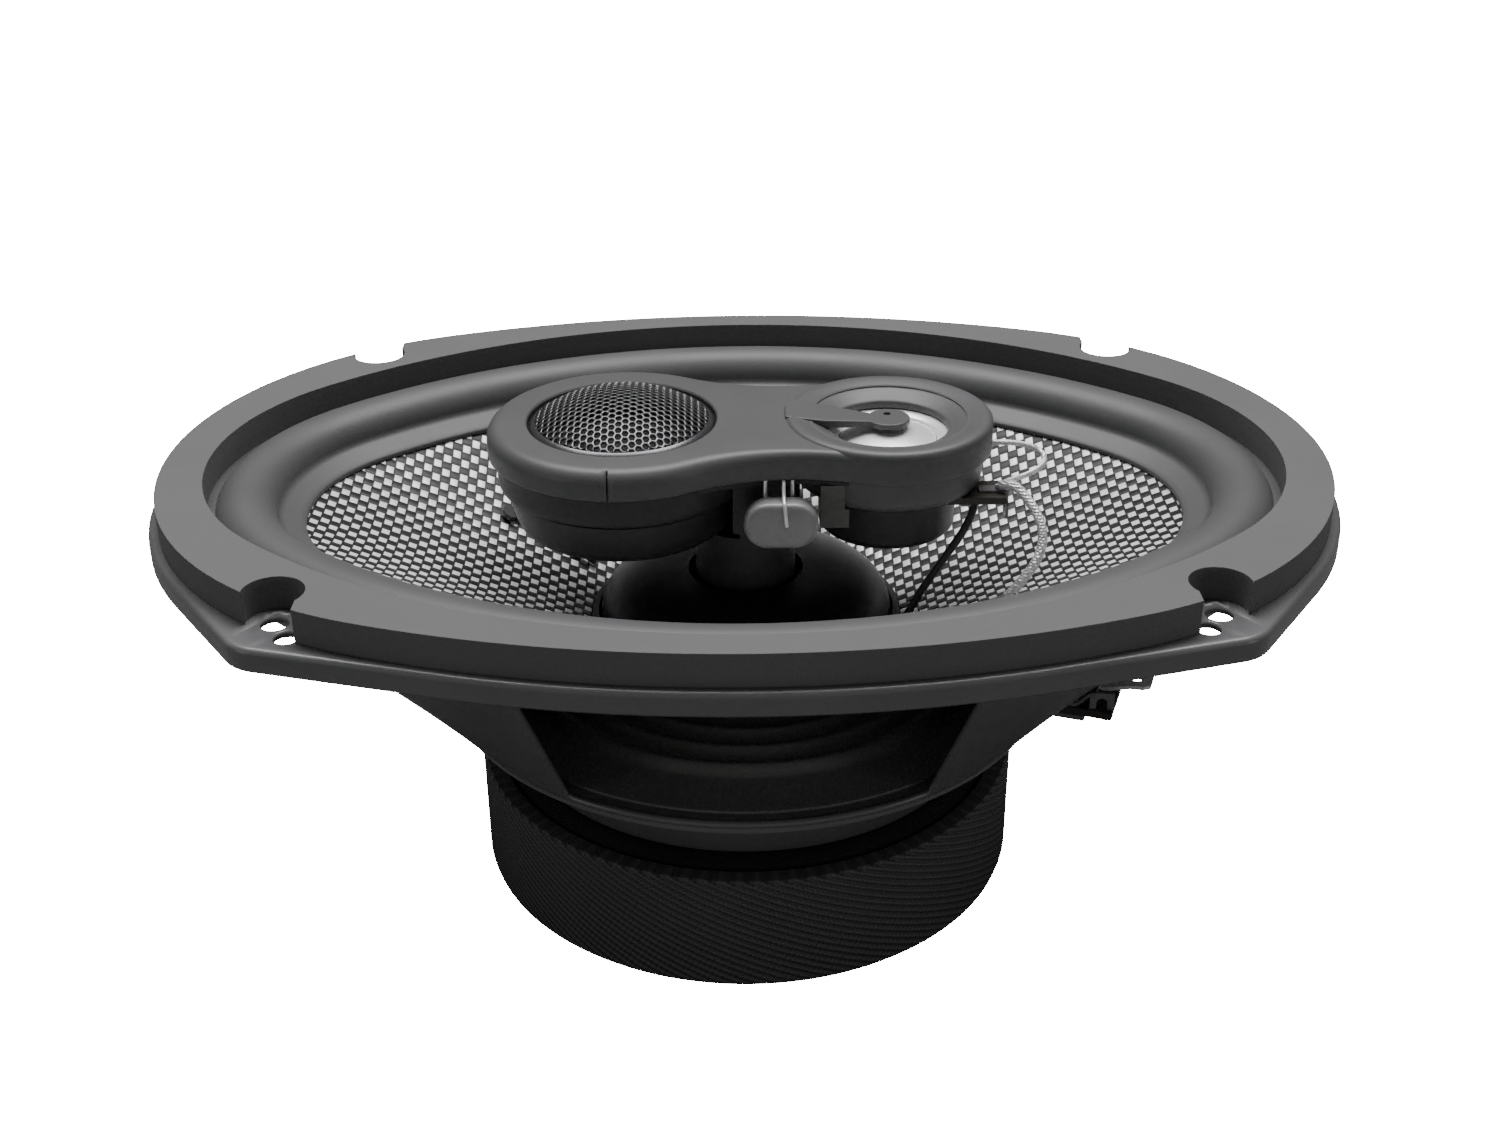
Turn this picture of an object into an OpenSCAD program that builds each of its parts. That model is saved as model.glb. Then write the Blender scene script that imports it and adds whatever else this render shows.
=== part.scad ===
// Coaxial three-way car speaker, oval six by nine inch pattern.
// Origin: centre of the plane on which the flange's turned-down lip rests.
// +X runs along the long axis towards the terminals, +Z towards the listener.

/* [Frame] */
// Overall length of the frame's flange
frame_l = 235; // [196:1:282]
// Overall width of the frame's flange, between the ears
frame_w = 165; // [138:1:198]
// Height of the turned-down lip, from its rest plane to the top of the flange
lip_h = 4.6; // [3.6:0.1:6]
// Thickness of the pressed steel
steel_t = 1.2; // [0.8:0.1:1.6]
// Distance from the flange's end to the mounting holes' line, along the length
hole_inset_x = 34.95; // [32.5:0.05:42]
// Distance between the mounting holes across the width
hole_y = 114.3; // [104:0.1:118]
// Diameter of the mounting holes
hole_d = 5.2; // [4:0.1:6]
// Radius of the rounded ear round each mounting hole
ear_r = 9.6; // [8.8:0.1:11]
// Depth from the rest plane to the spider's landing
landing_depth = 35.2; // [29:0.1:42]

/* [Gasket and suspension] */
// Thickness of the gasket ring above the flange
gasket_t = 6.4; // [5:0.1:8]
// Width of the surround's half roll
roll_w = 12.2; // [10:0.1:14]
// Outer radius of the spider
spider_r = 59.2; // [56:0.1:59.5]

/* [Voice coil and motor] */
// Outer radius of the woofer's coil former
former_r = 19.35; // [16.5:0.05:23]
// Radius of the ring magnet
magnet_r = 50; // [42:0.5:60]
// Thickness of the ring magnet
magnet_t = 13; // [10:0.5:18]
// Thickness of the motor's two steel plates
plate_t = 5.5; // [4:0.5:7]
// Radius of the centre post
post_r = 10.2; // [8.5:0.1:12.2]
// Travel of the woofer cone each way
cone_travel = 5; // [3:0.5:6]

/* [Bridge] */
// Height of the bridge cover's top above the rest plane
bridge_top = 18.8; // [18:0.1:24]
// Radius of the midrange lobe
mid_lobe_r = 26.8; // [24:0.1:30]
// Distance of the midrange's axis from the centre
mid_x = 24.3; // [22:0.1:27]
// Radius of the tweeter lobe
tweeter_lobe_r = 20.7; // [18:0.1:24]
// Distance of the tweeter's axis from the centre
tweeter_x = 28.6; // [26:0.1:34]

/* [Hidden] */
hole_x = frame_l - 2 * hole_inset_x;
$fn = 144;
eps = 0.01;
// Clearances between pieces that move or slide past each other
glue_gap = 0.3;
coil_gap = 0.65;
run_gap = 0.4;

// Heights, counted from the rest plane of the lip
flange_z = lip_h - steel_t;
gasket_top = lip_h + gasket_t;
rim_t = 0.8;
seat_z = lip_h - rim_t;
landing_z = -landing_depth;
neck_h = 17;
motor_top = landing_z - neck_h + 0.1;
magnet_top = motor_top - plate_t;
yoke_top = magnet_top - magnet_t;
yoke_bottom = yoke_top - plate_t;
boot_floor = 2.5;
boot_bottom = yoke_bottom - boot_floor;

// Outer oval of the flange and gasket, drawn with four tangent arcs
flange_margin = 2;
oval_rise = 7.5;
out_a = frame_l / 2 - flange_margin;
out_b = frame_w / 2 - flange_margin;
out_r = out_b - oval_rise;

// Inner oval of the gasket's opening
gasket_end_w = 8.7;
gasket_side_w = 6.6;
open_rise = 21.8;
in_a = out_a - gasket_end_w;
in_b = out_b - gasket_side_w;
in_r = in_b - open_rise;

// Surround, cone and spider, as offsets from the opening and radii about the centre
wall_out = 0.2;
wall_in = wall_out - steel_t;
roll_start = -1.2;
roll_end = roll_start - roll_w;
strip_w = 5.2;
strip_end = roll_end - strip_w;
strip_slope = 0.51;
strip_top = 2.3;
cone_t = 1;
cone_edge = strip_end - 0.4;
cone_edge_z = strip_top - rim_t - glue_gap + (cone_edge - roll_end) * strip_slope;
seat_r = former_r + 12.7;
seat_top = landing_z + 11.2;
neck_top = seat_top - 6;
collar_h = 3;
dome_r = seat_r - 2;
dome_h = 10.5;
post_hole_r = post_r + 1.6;

// Woofer motor
former_t = 0.35;
winding_t = 0.65;
winding_h = 12;
former_bottom = magnet_top - 3.9;
pole_r = former_r - former_t - coil_gap + 0.05;
bore_r = former_r + winding_t + coil_gap;
plate_r = magnet_r + 1.9;
boot_r = plate_r + 4.4;
boot_top = motor_top - 0.9;
bolt_r = 3;
ring_r = 62;
neck_r = 51.5;
neck_base_r = 48;
rivet_ring_r = 36;
spider_t = 0.6;
wave_pitch = 6.2;
wave_h = 1.5;
spider_flat_r = 48.7;

// Bridge, drivers and small parts
cover_t = 1.6;
skirt_h = 5.8;
skirt_z = bridge_top - skirt_h;
waist_r = 38.7;
base_t = 1.8;
base_z = skirt_z - base_t;
hub_r = post_r + 2.8;
hub_z = base_z - 12;
post_top = base_z - 2;
screw_x = 5.2;
mid_r = mid_lobe_r - cover_t - 0.1;
mid_z = skirt_z - 6.7;
mid_cup_r = 23.3;
mid_cup_h = 9.3;
mid_face_z = skirt_z + 0.2;
mesh_r = 18.5;
mesh_h = 6.3;
mesh_z = bridge_top - 1;
tw_r = tweeter_lobe_r - cover_t - 0.1;
tw_z = skirt_z - 6.8;
tw_can_r = 13.8;
tw_can_h = 10.7;
tw_open_r = 12.6;
tw_face_z = skirt_z + 1;
cap_l = 14.4;
cap_h = 9.4;
cap_t = 4.6;
cap_x = 6.8;
cap_y = 19.9;
wall_slot_w = 15;
term_angle = -20;
term_z = landing_z + 3.2;
board_in = 62;
board_l = 20;
board_w = 20;
board_t = 1.6;
spade_t = 0.8;

// Routes of the leads, as points chosen along the way each one runs
pod_braid_path = [[47.8, 4.3, 10.7], [49, 3.5, 11.2], [52.5, 2.6, 11.6], [56, 2, 11.4], [58.8, 1.2, 10.6],
    [60, -0.6, 9.6], [59, -2.8, 8.6], [56.2, -4.8, 7.9], [53, -6.4, 7.5], [50.8, -7.8, 7.3]];
cone_braid_path = [[50.6, -9.3, 7.8], [53, -10.6, 7.9], [55.6, -13.4, 5.6], [57.4, -16.2, 2.6], [57.6, -18.4, -1],
    [56.2, -20, -4.2], [54.4, -20.7, -6.2], [52.6, -21, -8], [51.2, -20.9, -9.3]];
sleeve_path = [[45.4, -8.4, 3.8], [44.9, -9.2, 1.6], [43.2, -10, -2], [40, -10.6, -7], [36.6, -11, -12.4],
    [33.8, -11.2, -17.4], [32.4, -11.4, -20.6]];
coil_lead_path = [[49.6, -20.9, -12.1], [45, -19.6, -14.3], [40, -17.9, -16.8], [35, -16, -19.3], [31.8, -14.8, -20.9]];
tinsel_path = [[66, 4, 0], [62, 4, 1.2], [57, 3.8, 1.6], [51, 3.6, 2.2], [45, 3.2, 3.6], [40, 3, 6]];

// ---- shared shapes ----

// Radius of the long side arcs that meet end arcs of radius r without a corner
function side_r(a, b, r) = (pow(a - r, 2) + b * b - r * r) / (2 * (b - r));
// Angle at which the end arc hands over to the side arc
function join_angle(a, b, r) = atan2(side_r(a, b, r) - b, a - r);
// Point of the four-arc oval at angle t seen from the centre
function end_hit(t, c, r) = c * abs(cos(t)) + sqrt(max(0, r * r - pow(c * sin(t), 2)));
function side_hit(t, d, s) = -d * abs(sin(t)) + sqrt(s * s - pow(d * cos(t), 2));
function on_end(t, a, b, r) = let (k = end_hit(t, a - r, r))
    atan2(k * abs(sin(t)), k * abs(cos(t)) - a + r) <= join_angle(a, b, r);
function oval_at(t, a, b, r) = on_end(t, a, b, r) ? end_hit(t, a - r, r)
    : side_hit(t, side_r(a, b, r) - b, side_r(a, b, r));

// Flat oval shape, grown by d
loft_steps = 120;
function oval_points(a, b, r, lead = 0) = [for (i = [0:loft_steps - 1]) let (t = 360 * (i + lead) / loft_steps)
    oval_at(t, a, b, r) * [cos(t), sin(t)]];
module oval(a, b, r, d = 0, lead = 0) {
    polygon(oval_points(a + d, b + d, r + d, lead));
}

// Closed ring whose cross-section runs through the given rings, outer top edge first
function opening_ring(d, z) = [for (p = oval_points(in_a + d, in_b + d, in_r + d)) [p[0], p[1], z]];
function circle_ring(r, z) = [for (i = [0:loft_steps - 1]) let (t = 360 * i / loft_steps)
    [r * cos(t), r * sin(t), z]];
module ring_loft(rings) {
    n = loft_steps;
    m = len(rings);
    polyhedron(points = [for (ring = rings) each ring],
        faces = [for (k = [0:m - 1]) for (i = [0:n - 1]) let (a = k * n, b = ((k + 1) % m) * n, j = (i + 1) % n)
            each [[a + i, b + i, b + j], [a + i, b + j, a + j]]]);
}
// The same all the way round the opening; x is the distance outwards from its edge
module round_opening(profile) {
    ring_loft([for (p = profile) opening_ring(p[0], p[1])]);
}

// Round tube along a route, one ring of sides at each point
function unit(v) = v / norm(v);
function heading(p, i) = unit(p[min(i + 1, len(p) - 1)] - p[max(i - 1, 0)]);
function side_of(h) = unit(cross(h, abs(h[2]) > 0.9 ? [1, 0, 0] : [0, 0, 1]));
module lead(p, r, sides = 8) {
    n = sides;
    m = len(p);
    polyhedron(points = [for (i = [0:m - 1]) let (h = heading(p, i), u = side_of(h), w = cross(h, u))
            for (k = [0:n - 1]) p[i] + r * (cos(360 * k / n) * u + sin(360 * k / n) * w)],
        faces = concat([[for (k = [0:n - 1]) k]], [[for (k = [n - 1:-1:0]) (m - 1) * n + k]],
            [for (i = [0:m - 2]) for (k = [0:n - 1]) let (j = (k + 1) % n)
                each [[i * n + k, (i + 1) * n + k, (i + 1) * n + j], [i * n + k, (i + 1) * n + j, i * n + j]]]));
}

// Tube with a bore
module tube(r, bore, z0, z1) {
    translate([0, 0, z0]) difference() {
        cylinder(r = r, h = z1 - z0);
        translate([0, 0, -1]) cylinder(r = bore, h = z1 - z0 + 2);
    }
}

module at_corners(x, y) {
    for (turn = [0, 1], flip = [0, 1]) mirror([turn, 0, 0]) mirror([0, flip, 0]) translate([x, y]) children();
}

// Flange outline: the outer oval with an ear at each hole, shrunk by d
module ear_web(c, s, d, side) {
    hole = [hole_x / 2, hole_y / 2];
    gap = hole - c;
    turn = acos(min(1, (s - ear_r) / norm(gap))) * side;
    aim = atan2(gap[1], gap[0]) + turn;
    out = [cos(aim), sin(aim)];
    polygon([hole, hole + (ear_r - d - 0.05) * out, c + (s - d - 0.05) * out, c + (s - d) * out * 0.9]);
}
module flange_outline(d = 0) {
    a = out_a + flange_margin;
    b = out_b + flange_margin;
    r = out_r + flange_margin;
    s = side_r(a, b, r);
    oval(a, b, r, -d);
    at_corners(0, 0) {
        translate([hole_x / 2, hole_y / 2]) circle(ear_r - d);
        ear_web([a - r, 0], r, d, -1);
        ear_web([0, b - s], s, d, 1);
    }
}
relief_r = 2.3;
module mounting_holes(h) {
    at_corners(hole_x / 2, hole_y / 2) translate([0, 0, -h / 2]) cylinder(d = hole_d, h = h);
    at_corners(hole_x / 2 - 3, hole_y / 2 + 5.1) translate([0, 0, -h / 2]) cylinder(r = relief_r, h = h);
}

// ---- frame ----

window_top = -5;
window_top_w = 82;
window_base_w = 67;
module basket() {
    color("#2b2b2d") difference() {
        union() {
            linear_extrude(lip_h) difference() {
                flange_outline();
                flange_outline(steel_t);
            }
            translate([0, 0, flange_z]) linear_extrude(steel_t) difference() {
                flange_outline(steel_t / 2);
                oval(in_a, in_b, in_r, 2.9, 0.5);
            }
            ring_loft([opening_ring(4.1, seat_z), opening_ring(wall_in, seat_z), opening_ring(wall_in, -2.8),
                circle_ring(ring_r - 1.25, landing_z - 1.6), circle_ring(ring_r - 0.25, landing_z - 1.6),
                opening_ring(wall_out, -3.2), opening_ring(wall_out, seat_z - steel_t),
                opening_ring(4.1, seat_z - steel_t)]);
            rotate_extrude() polygon([[ring_r, landing_z + 1.4], [ring_r, landing_z - 2.4],
                [ring_r - 1.4, landing_z - 2.4], [ring_r - 1.4, landing_z - steel_t],
                [neck_r, landing_z - steel_t], [neck_base_r, motor_top], [bore_r + 3.5, motor_top],
                [bore_r + 3.5, motor_top + steel_t], [neck_base_r - steel_t, motor_top + steel_t],
                [neck_r - steel_t - 0.1, landing_z], [ring_r - 1.6, landing_z], [ring_r - 1.6, landing_z + 1.4]]);
            rotate([0, 0, term_angle]) translate([ring_r - 1.2, -board_w / 2 + 2, term_z - steel_t])
                cube([12, board_w - 4, steel_t]);
            linear_extrude(flange_z + 0.2) at_corners(hole_x / 2, hole_y / 2) circle(r = hole_d / 2 + 0.8);
        }
        mounting_holes(4 * lip_h);
        for (side = [0, 180]) rotate([0, 0, side]) rotate([90, 0, 0]) linear_extrude(120)
            polygon([[-window_top_w / 2, window_top], [-window_base_w / 2, landing_z + 0.3],
                [window_base_w / 2, landing_z + 0.3], [window_top_w / 2, window_top]]);
        rotate([0, 0, term_angle]) translate([54, -wall_slot_w / 2, term_z]) cube([26, wall_slot_w, 5]);
        for (k = [0:3]) rotate([0, 0, 90 * k + 45]) translate([rivet_ring_r, 0, motor_top - 1]) cylinder(r = 2, h = 4);
        rotate([0, 0, term_angle]) translate([ring_r + 7, -0.6, term_z - 4]) cylinder(r = 1.2, h = 8);
    }
}

module gasket() {
    notch_r = 5.6;
    color("#6b6b6d") translate([0, 0, lip_h]) linear_extrude(gasket_t) difference() {
        oval(out_a, out_b, out_r);
        oval(in_a, in_b, in_r);
        at_corners(hole_x / 2 - 0.35, hole_y / 2) circle(notch_r);
        at_corners(hole_x / 2, hole_y / 2) polygon([[-4.85, 0], [-4.85, 40], [40, 40], [40, 0.25], [0, 0.25]]);
    }
}

// Half roll of rubber between the frame's seat and the cone's edge
module surround() {
    crown_r = roll_w / 2 + 0.3;
    centre = [(roll_start + roll_end) / 2, lip_h - 3];
    function arc(r, i) = centre + r * [cos(28 + 24 * i), sin(28 + 24 * i)];
    tail = [roll_end, strip_top];
    drop = [-strip_w, -strip_w * strip_slope];
    color("#4a4a4c") round_opening(concat([[2.1, lip_h]], [for (i = [0:6]) arc(crown_r, i)],
        [tail + drop, tail + drop - [0, rim_t], tail - [0, rim_t]],
        [for (i = [5:-1:0]) arc(crown_r - rim_t, i)], [[roll_start - 0.6, seat_z], [2.1, seat_z]]));
}

// Corrugated cloth spider
module spider() {
    inner = former_r + glue_gap;
    waves = floor((spider_flat_r - inner - 1) / wave_pitch);
    start = spider_flat_r - waves * wave_pitch;
    steps = 8 * waves;
    function wave_z(i) = landing_z + spider_t / 2 + wave_h * (1 - cos(360 * i / 8)) / 2;
    line = [for (i = [0:steps]) [start + i * wave_pitch / 8, wave_z(i)]];
    color("#3a3226") rotate_extrude() {
        polygon(concat([for (p = line) p - [0, spider_t / 2]], [for (i = [steps:-1:0]) line[i] + [0, spider_t / 2]]));
        translate([spider_flat_r - 0.3, landing_z]) square([spider_r - spider_flat_r + 0.3, spider_t]);
        translate([inner, landing_z]) square([start - inner + 0.3, spider_t]);
        translate([inner, landing_z - 1]) square([spider_t, 2]);
    }
}

// ---- woofer ----

module woofer_cone() {
    edge_w = strip_w - 0.2;
    rise = edge_w * strip_slope;
    color("#8a8a8c") union() {
        ring_loft([opening_ring(cone_edge + edge_w, cone_edge_z + rise), opening_ring(cone_edge, cone_edge_z),
            circle_ring(seat_r - 0.3, seat_top - 0.2), circle_ring(seat_r - 0.3, seat_top - cone_t - 0.1),
            opening_ring(cone_edge, cone_edge_z - cone_t), opening_ring(cone_edge + edge_w, cone_edge_z + rise - cone_t)]);
        rotate_extrude() polygon([[seat_r, seat_top], [seat_r, seat_top - cone_t - 0.2],
            [former_r + 0.9, neck_top - cone_t - 0.2], [former_r + 0.9, neck_top - collar_h], [former_r, neck_top - collar_h],
            [former_r, neck_top]]);
    }
}

// Round dome with a hole for the centre post
function dome_point(t, grow) = [post_hole_r + (dome_r - post_hole_r + grow) * pow(cos(t), 0.75),
    seat_top - 0.9 + (dome_h + grow) * pow(sin(t), 0.75)];
module dust_cap() {
    cap_t0 = 0.8;
    slope = (seat_top - neck_top) / (seat_r - former_r);
    function seat_at(r) = neck_top + (r - former_r) * slope;
    color("#161617") rotate_extrude() {
        polygon(concat([for (i = [0:12]) dome_point(7.5 * i, 0)], [for (i = [12:-1:0]) dome_point(7.5 * i, -cap_t0)]));
        polygon([[dome_r - 0.9, seat_at(dome_r - 0.9) + eps], [dome_r + 1.8, seat_at(dome_r + 1.8) + eps],
            [dome_r + 1.8, seat_at(dome_r + 1.8) + 0.6], [dome_r - 0.1, seat_at(dome_r) + 0.9],
            [dome_r - 0.9, seat_at(dome_r) + 0.9]]);
    }
}

module coil_former() {
    color("#b8864a") tube(former_r - eps, former_r - former_t, former_bottom, neck_top - 0.2);
}

module woofer_voice_coil() {
    color("#b5562b") tube(former_r + winding_t, former_r, former_bottom + 0.6, former_bottom + 0.6 + winding_h);
}

// The two leads that run down the cone to the coil
module coil_leads() {
    color("#141414") {
        lead(coil_lead_path, 0.7);
        rotate([0, 0, 180]) lead(coil_lead_path, 0.7);
    }
}

module lead_patches() {
    color("#2c2c2e") for (turn = [0, 180]) rotate([0, 0, turn])
        translate([50.4, -21, -12.4]) rotate([0, -28, -22]) cylinder(r = 2, h = 1.1);
}

// ---- motor ----

module top_plate() {
    color("#6f7072") difference() {
        tube(plate_r, bore_r, magnet_top, motor_top);
        for (k = [0:3]) rotate([0, 0, 90 * k + 45]) translate([rivet_ring_r, 0, magnet_top - 1]) cylinder(r = 2, h = plate_t + 2);
    }
}

module ring_magnet() {
    color("#3c3c3e") tube(magnet_r, former_r + winding_t + 6, yoke_top, magnet_top);
}

module pole_yoke() {
    color("#77787a") difference() {
        union() {
            translate([0, 0, yoke_bottom]) cylinder(r = magnet_r, h = plate_t);
            translate([0, 0, yoke_bottom]) cylinder(r = pole_r, h = motor_top - yoke_bottom);
        }
        translate([0, 0, yoke_bottom - 1]) cylinder(r = bolt_r + 0.2, h = motor_top - yoke_bottom + 2);
        translate([0, 0, yoke_bottom - 1]) cylinder(r = 2 * bolt_r + 1, h = 5.5);
    }
}

module magnet_boot() {
    color("#1b1b1c") rotate_extrude() polygon([[0, boot_bottom], [boot_r - 1.5, boot_bottom], [boot_r, boot_bottom + 1.5],
        [boot_r, boot_top - 0.8], [boot_r - 0.8, boot_top], [plate_r + 0.3, boot_top], [plate_r + 0.3, yoke_bottom],
        [0, yoke_bottom]]);
}

// Flared studs that hold the basket down on the top plate
module plate_rivets() {
    color("#8d8e90") for (k = [0:3]) rotate([0, 0, 90 * k + 45]) translate([rivet_ring_r, 0, 0]) {
        translate([0, 0, magnet_top + 0.5]) cylinder(r = 1.95, h = plate_t - 0.5 + steel_t);
        translate([0, 0, motor_top + steel_t]) cylinder(r = 3.4, h = 1.2);
    }
}

module centre_post() {
    color("#262627") difference() {
        translate([0, 0, motor_top]) cylinder(r = post_r, h = post_top - motor_top);
        translate([0, 0, motor_top - 1]) cylinder(r = bolt_r, h = 21);
        translate([screw_x, 0, post_top - 16]) cylinder(r = 1.5, h = 17);
        translate([-mid_x, 0, mid_z - mid_cup_h - 0.2]) cylinder(r = mid_r + 0.15, h = 40);
        translate([tweeter_x, 0, tw_z - 0.2]) cylinder(r = tw_r + 0.15, h = 40);
    }
}

module post_bolt() {
    color("#9a9b9d") {
        translate([0, 0, yoke_bottom + 4.5]) cylinder(r = bolt_r - 0.02, h = motor_top + 19 - yoke_bottom - 4.5);
        translate([0, 0, yoke_bottom + 0.5]) cylinder(r = bolt_r * 1.85, h = 4, $fn = 6);
    }
}

// ---- bridge over the cone ----

// Figure-eight outline with a concave waist, shrunk by d
module bridge_outline(d = 0) {
    span = mid_x + tweeter_x;
    left = mid_lobe_r + waist_r;
    right = tweeter_lobe_r + waist_r;
    along = (left * left - right * right + span * span) / (2 * span);
    fillet = [along - mid_x, sqrt(left * left - along * along)];
    translate([-mid_x, 0]) circle(mid_lobe_r - d);
    translate([tweeter_x, 0]) circle(tweeter_lobe_r - d);
    difference() {
        polygon([[-mid_x, 0], [fillet[0], -fillet[1]], [tweeter_x, 0], fillet]);
        for (side = [-1, 1]) translate([fillet[0], side * fillet[1]]) circle(waist_r + d + 0.03);
    }
}

module bridge_cover() {
    color("#3d3d3f") difference() {
        translate([0, 0, skirt_z]) linear_extrude(skirt_h) bridge_outline();
        translate([0, 0, skirt_z - 1]) linear_extrude(skirt_h - cover_t + 1) bridge_outline(cover_t);
        translate([-mid_x, 0, skirt_z]) cylinder(r = mesh_r + 0.3, h = 2 * skirt_h);
        translate([tweeter_x, 0, skirt_z]) cylinder(r = tw_open_r, h = 2 * skirt_h);
        translate([tweeter_x, 0, bridge_top - 1]) cylinder(r1 = tw_open_r, r2 = tw_open_r + 1.6, h = 1 + eps);
    }
}

module bridge_base() {
    color("#202021") difference() {
        union() {
            translate([0, 0, base_z]) linear_extrude(base_t) difference() {
                bridge_outline(cover_t + 0.2);
                translate([-mid_x, 0]) circle(mid_r + 0.15);
                translate([tweeter_x, 0]) circle(tw_r + 0.15);
            }
            translate([0, 0, hub_z]) cylinder(r = hub_r, h = base_z + base_t - hub_z);
        }
        translate([0, 0, hub_z - 1]) cylinder(r = post_r + 0.05, h = post_top - hub_z + 1);
        translate([screw_x, 0, hub_z]) cylinder(r = 1.6, h = 30);
        translate([-mid_x, 0, hub_z - 1]) cylinder(r = mid_r + 0.15, h = 40);
        translate([tweeter_x, 0, hub_z - 1]) cylinder(r = tw_r + 0.15, h = 40);
    }
}

module bridge_screw() {
    color("#8f9092") {
        translate([screw_x, 0, post_top - 12]) cylinder(r = 1.48, h = 12 + base_z + base_t - post_top);
        translate([screw_x, 0, base_z + base_t]) cylinder(r = 2.8, h = 1.8);
    }
}

// ---- midrange ----

module mid_housing() {
    wall_r = mid_r - 3.6;
    top = mid_face_z + 2.4;
    color("#1d1d1e") translate([-mid_x, 0, 0]) rotate_extrude() polygon([[wall_r, mid_z], [mid_r, mid_z],
        [mid_r, top], [wall_r, top], [wall_r, mid_z + 6.2], [wall_r - 1.2, mid_z + 6.2], [wall_r - 1.2, mid_z + 2.55],
        [wall_r, mid_z + 2.55]]);
}

module mid_back_cover() {
    color("#171718") translate([-mid_x, 0, 0]) rotate_extrude() polygon([
        [0, mid_z - mid_cup_h], [mid_cup_r - 3, mid_z - mid_cup_h], [mid_cup_r - 1.2, mid_z - mid_cup_h + 1],
        [mid_cup_r, mid_z - 1.2], [mid_cup_r, mid_z - 0.6], [mid_cup_r - 1, mid_z - 0.6], [mid_cup_r - 1, mid_z],
        [mid_cup_r - 2.2, mid_z], [mid_cup_r - 2.6, mid_z - mid_cup_h + 1.6], [0, mid_z - mid_cup_h + 1.6]]);
}

mid_pot_r = 17;
mid_slug_r = 11.4;
mid_coil_r = 12.6;
module mid_pot() {
    floor_z = mid_z - mid_cup_h + 1.6;
    color("#6d6e70") translate([-mid_x, 0, 0]) union() {
        difference() {
            translate([0, 0, floor_z]) cylinder(r = mid_pot_r, h = mid_z + 1 - floor_z);
            translate([0, 0, floor_z + 2]) cylinder(r = mid_coil_r + 0.75, h = 20);
        }
        tube(mid_r - 3.65, mid_coil_r + 0.75, mid_z + 0.9, mid_z + 2.5);
    }
}

module mid_magnet() {
    z0 = mid_z - mid_cup_h + 3.6;
    color("#9fa0a2") translate([-mid_x, 0, z0]) cylinder(r = mid_slug_r, h = mid_z + 0.9 - z0);
}

module mid_pole_piece() {
    color("#77787a") translate([-mid_x, 0, mid_z + 0.9]) cylinder(r = mid_slug_r, h = 1.8);
}

module mid_diaphragm() {
    dome_s = 24;
    edge = 13;
    z0 = mid_z + 4.6;
    drop = sqrt(dome_s * dome_s - edge * edge);
    color("#55565a") translate([-mid_x, 0, 0]) rotate_extrude() {
        intersection() {
            translate([0, z0 - drop]) difference() {
                circle(dome_s);
                circle(dome_s - 0.5);
            }
            translate([0, z0]) square([edge, 20]);
        }
        polygon([[edge - 0.8, z0 + 0.1], [edge + 0.2, z0 + 0.1], [17.2, z0 + 1], [17.2, z0 + 1.6], [edge - 0.8, z0 + 0.7]]);
    }
}

module mid_voice_coil() {
    color("#b5562b") translate([-mid_x, 0, 0]) tube(mid_coil_r + 0.3, mid_coil_r - 0.3 - 0.2, mid_z - 1.4, mid_z + 4.6 - eps);
}

module mid_suspension() {
    color("#2b2b2c") translate([-mid_x, 0, 0]) rotate_extrude() {
        polygon([[17.5, mid_z + 5.6], [19, mid_z + 6.8], [20.3, mid_z + 6.2], [21.4, mid_z + 6.2], [21.4, mid_z + 6.8],
            [20.5, mid_z + 6.8], [19, mid_z + 7.4], [17.5, mid_z + 6.2]]);
    }
}

// Pressed mesh dome; its round holes are left to the finished surface
module mid_grille() {
    s = (mesh_r * mesh_r + mesh_h * mesh_h) / (2 * mesh_h);
    color("#3a3a3b") translate([-mid_x, 0, mesh_z]) rotate_extrude() {
        intersection() {
            translate([0, mesh_h - s]) difference() {
                circle(s);
                circle(s - 0.6);
            }
            square([mesh_r, 20]);
        }
        polygon([[mesh_r - 1, -1.25], [mesh_r + 2.5, -1.25], [mesh_r + 2.5, -0.65], [mesh_r, -0.65], [mesh_r, 0.1],
            [mesh_r - 1, 0.1]]);
    }
}

// ---- tweeter ----

module tweeter_housing() {
    color("#5c5d5f") translate([tweeter_x, 0, 0]) rotate_extrude() polygon([
        [tw_can_r + 0.3, tw_z], [tw_r - 0.9, tw_z], [tw_r - 0.2, tw_z + 0.5], [tw_r, base_z], [tw_r, tw_face_z + 1.4],
        [13, tw_face_z + 1.4], [13, tw_face_z + 0.02], [tw_r - 2, tw_face_z + 0.02], [tw_r - 2, tw_z + 1.6], [tw_can_r + 0.3, tw_z + 1.6]]);
}

module tweeter_back_can() {
    color("#1c1c1d") translate([tweeter_x, 0, 0]) rotate_extrude() polygon([
        [0, tw_z - tw_can_h], [tw_can_r - 1, tw_z - tw_can_h], [tw_can_r, tw_z - tw_can_h + 1], [tw_can_r, tw_z + 3],
        [tw_can_r - 1.4, tw_z + 3], [tw_can_r - 1.4, tw_z - tw_can_h + 1.4], [0, tw_z - tw_can_h + 1.4]]);
}

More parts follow.
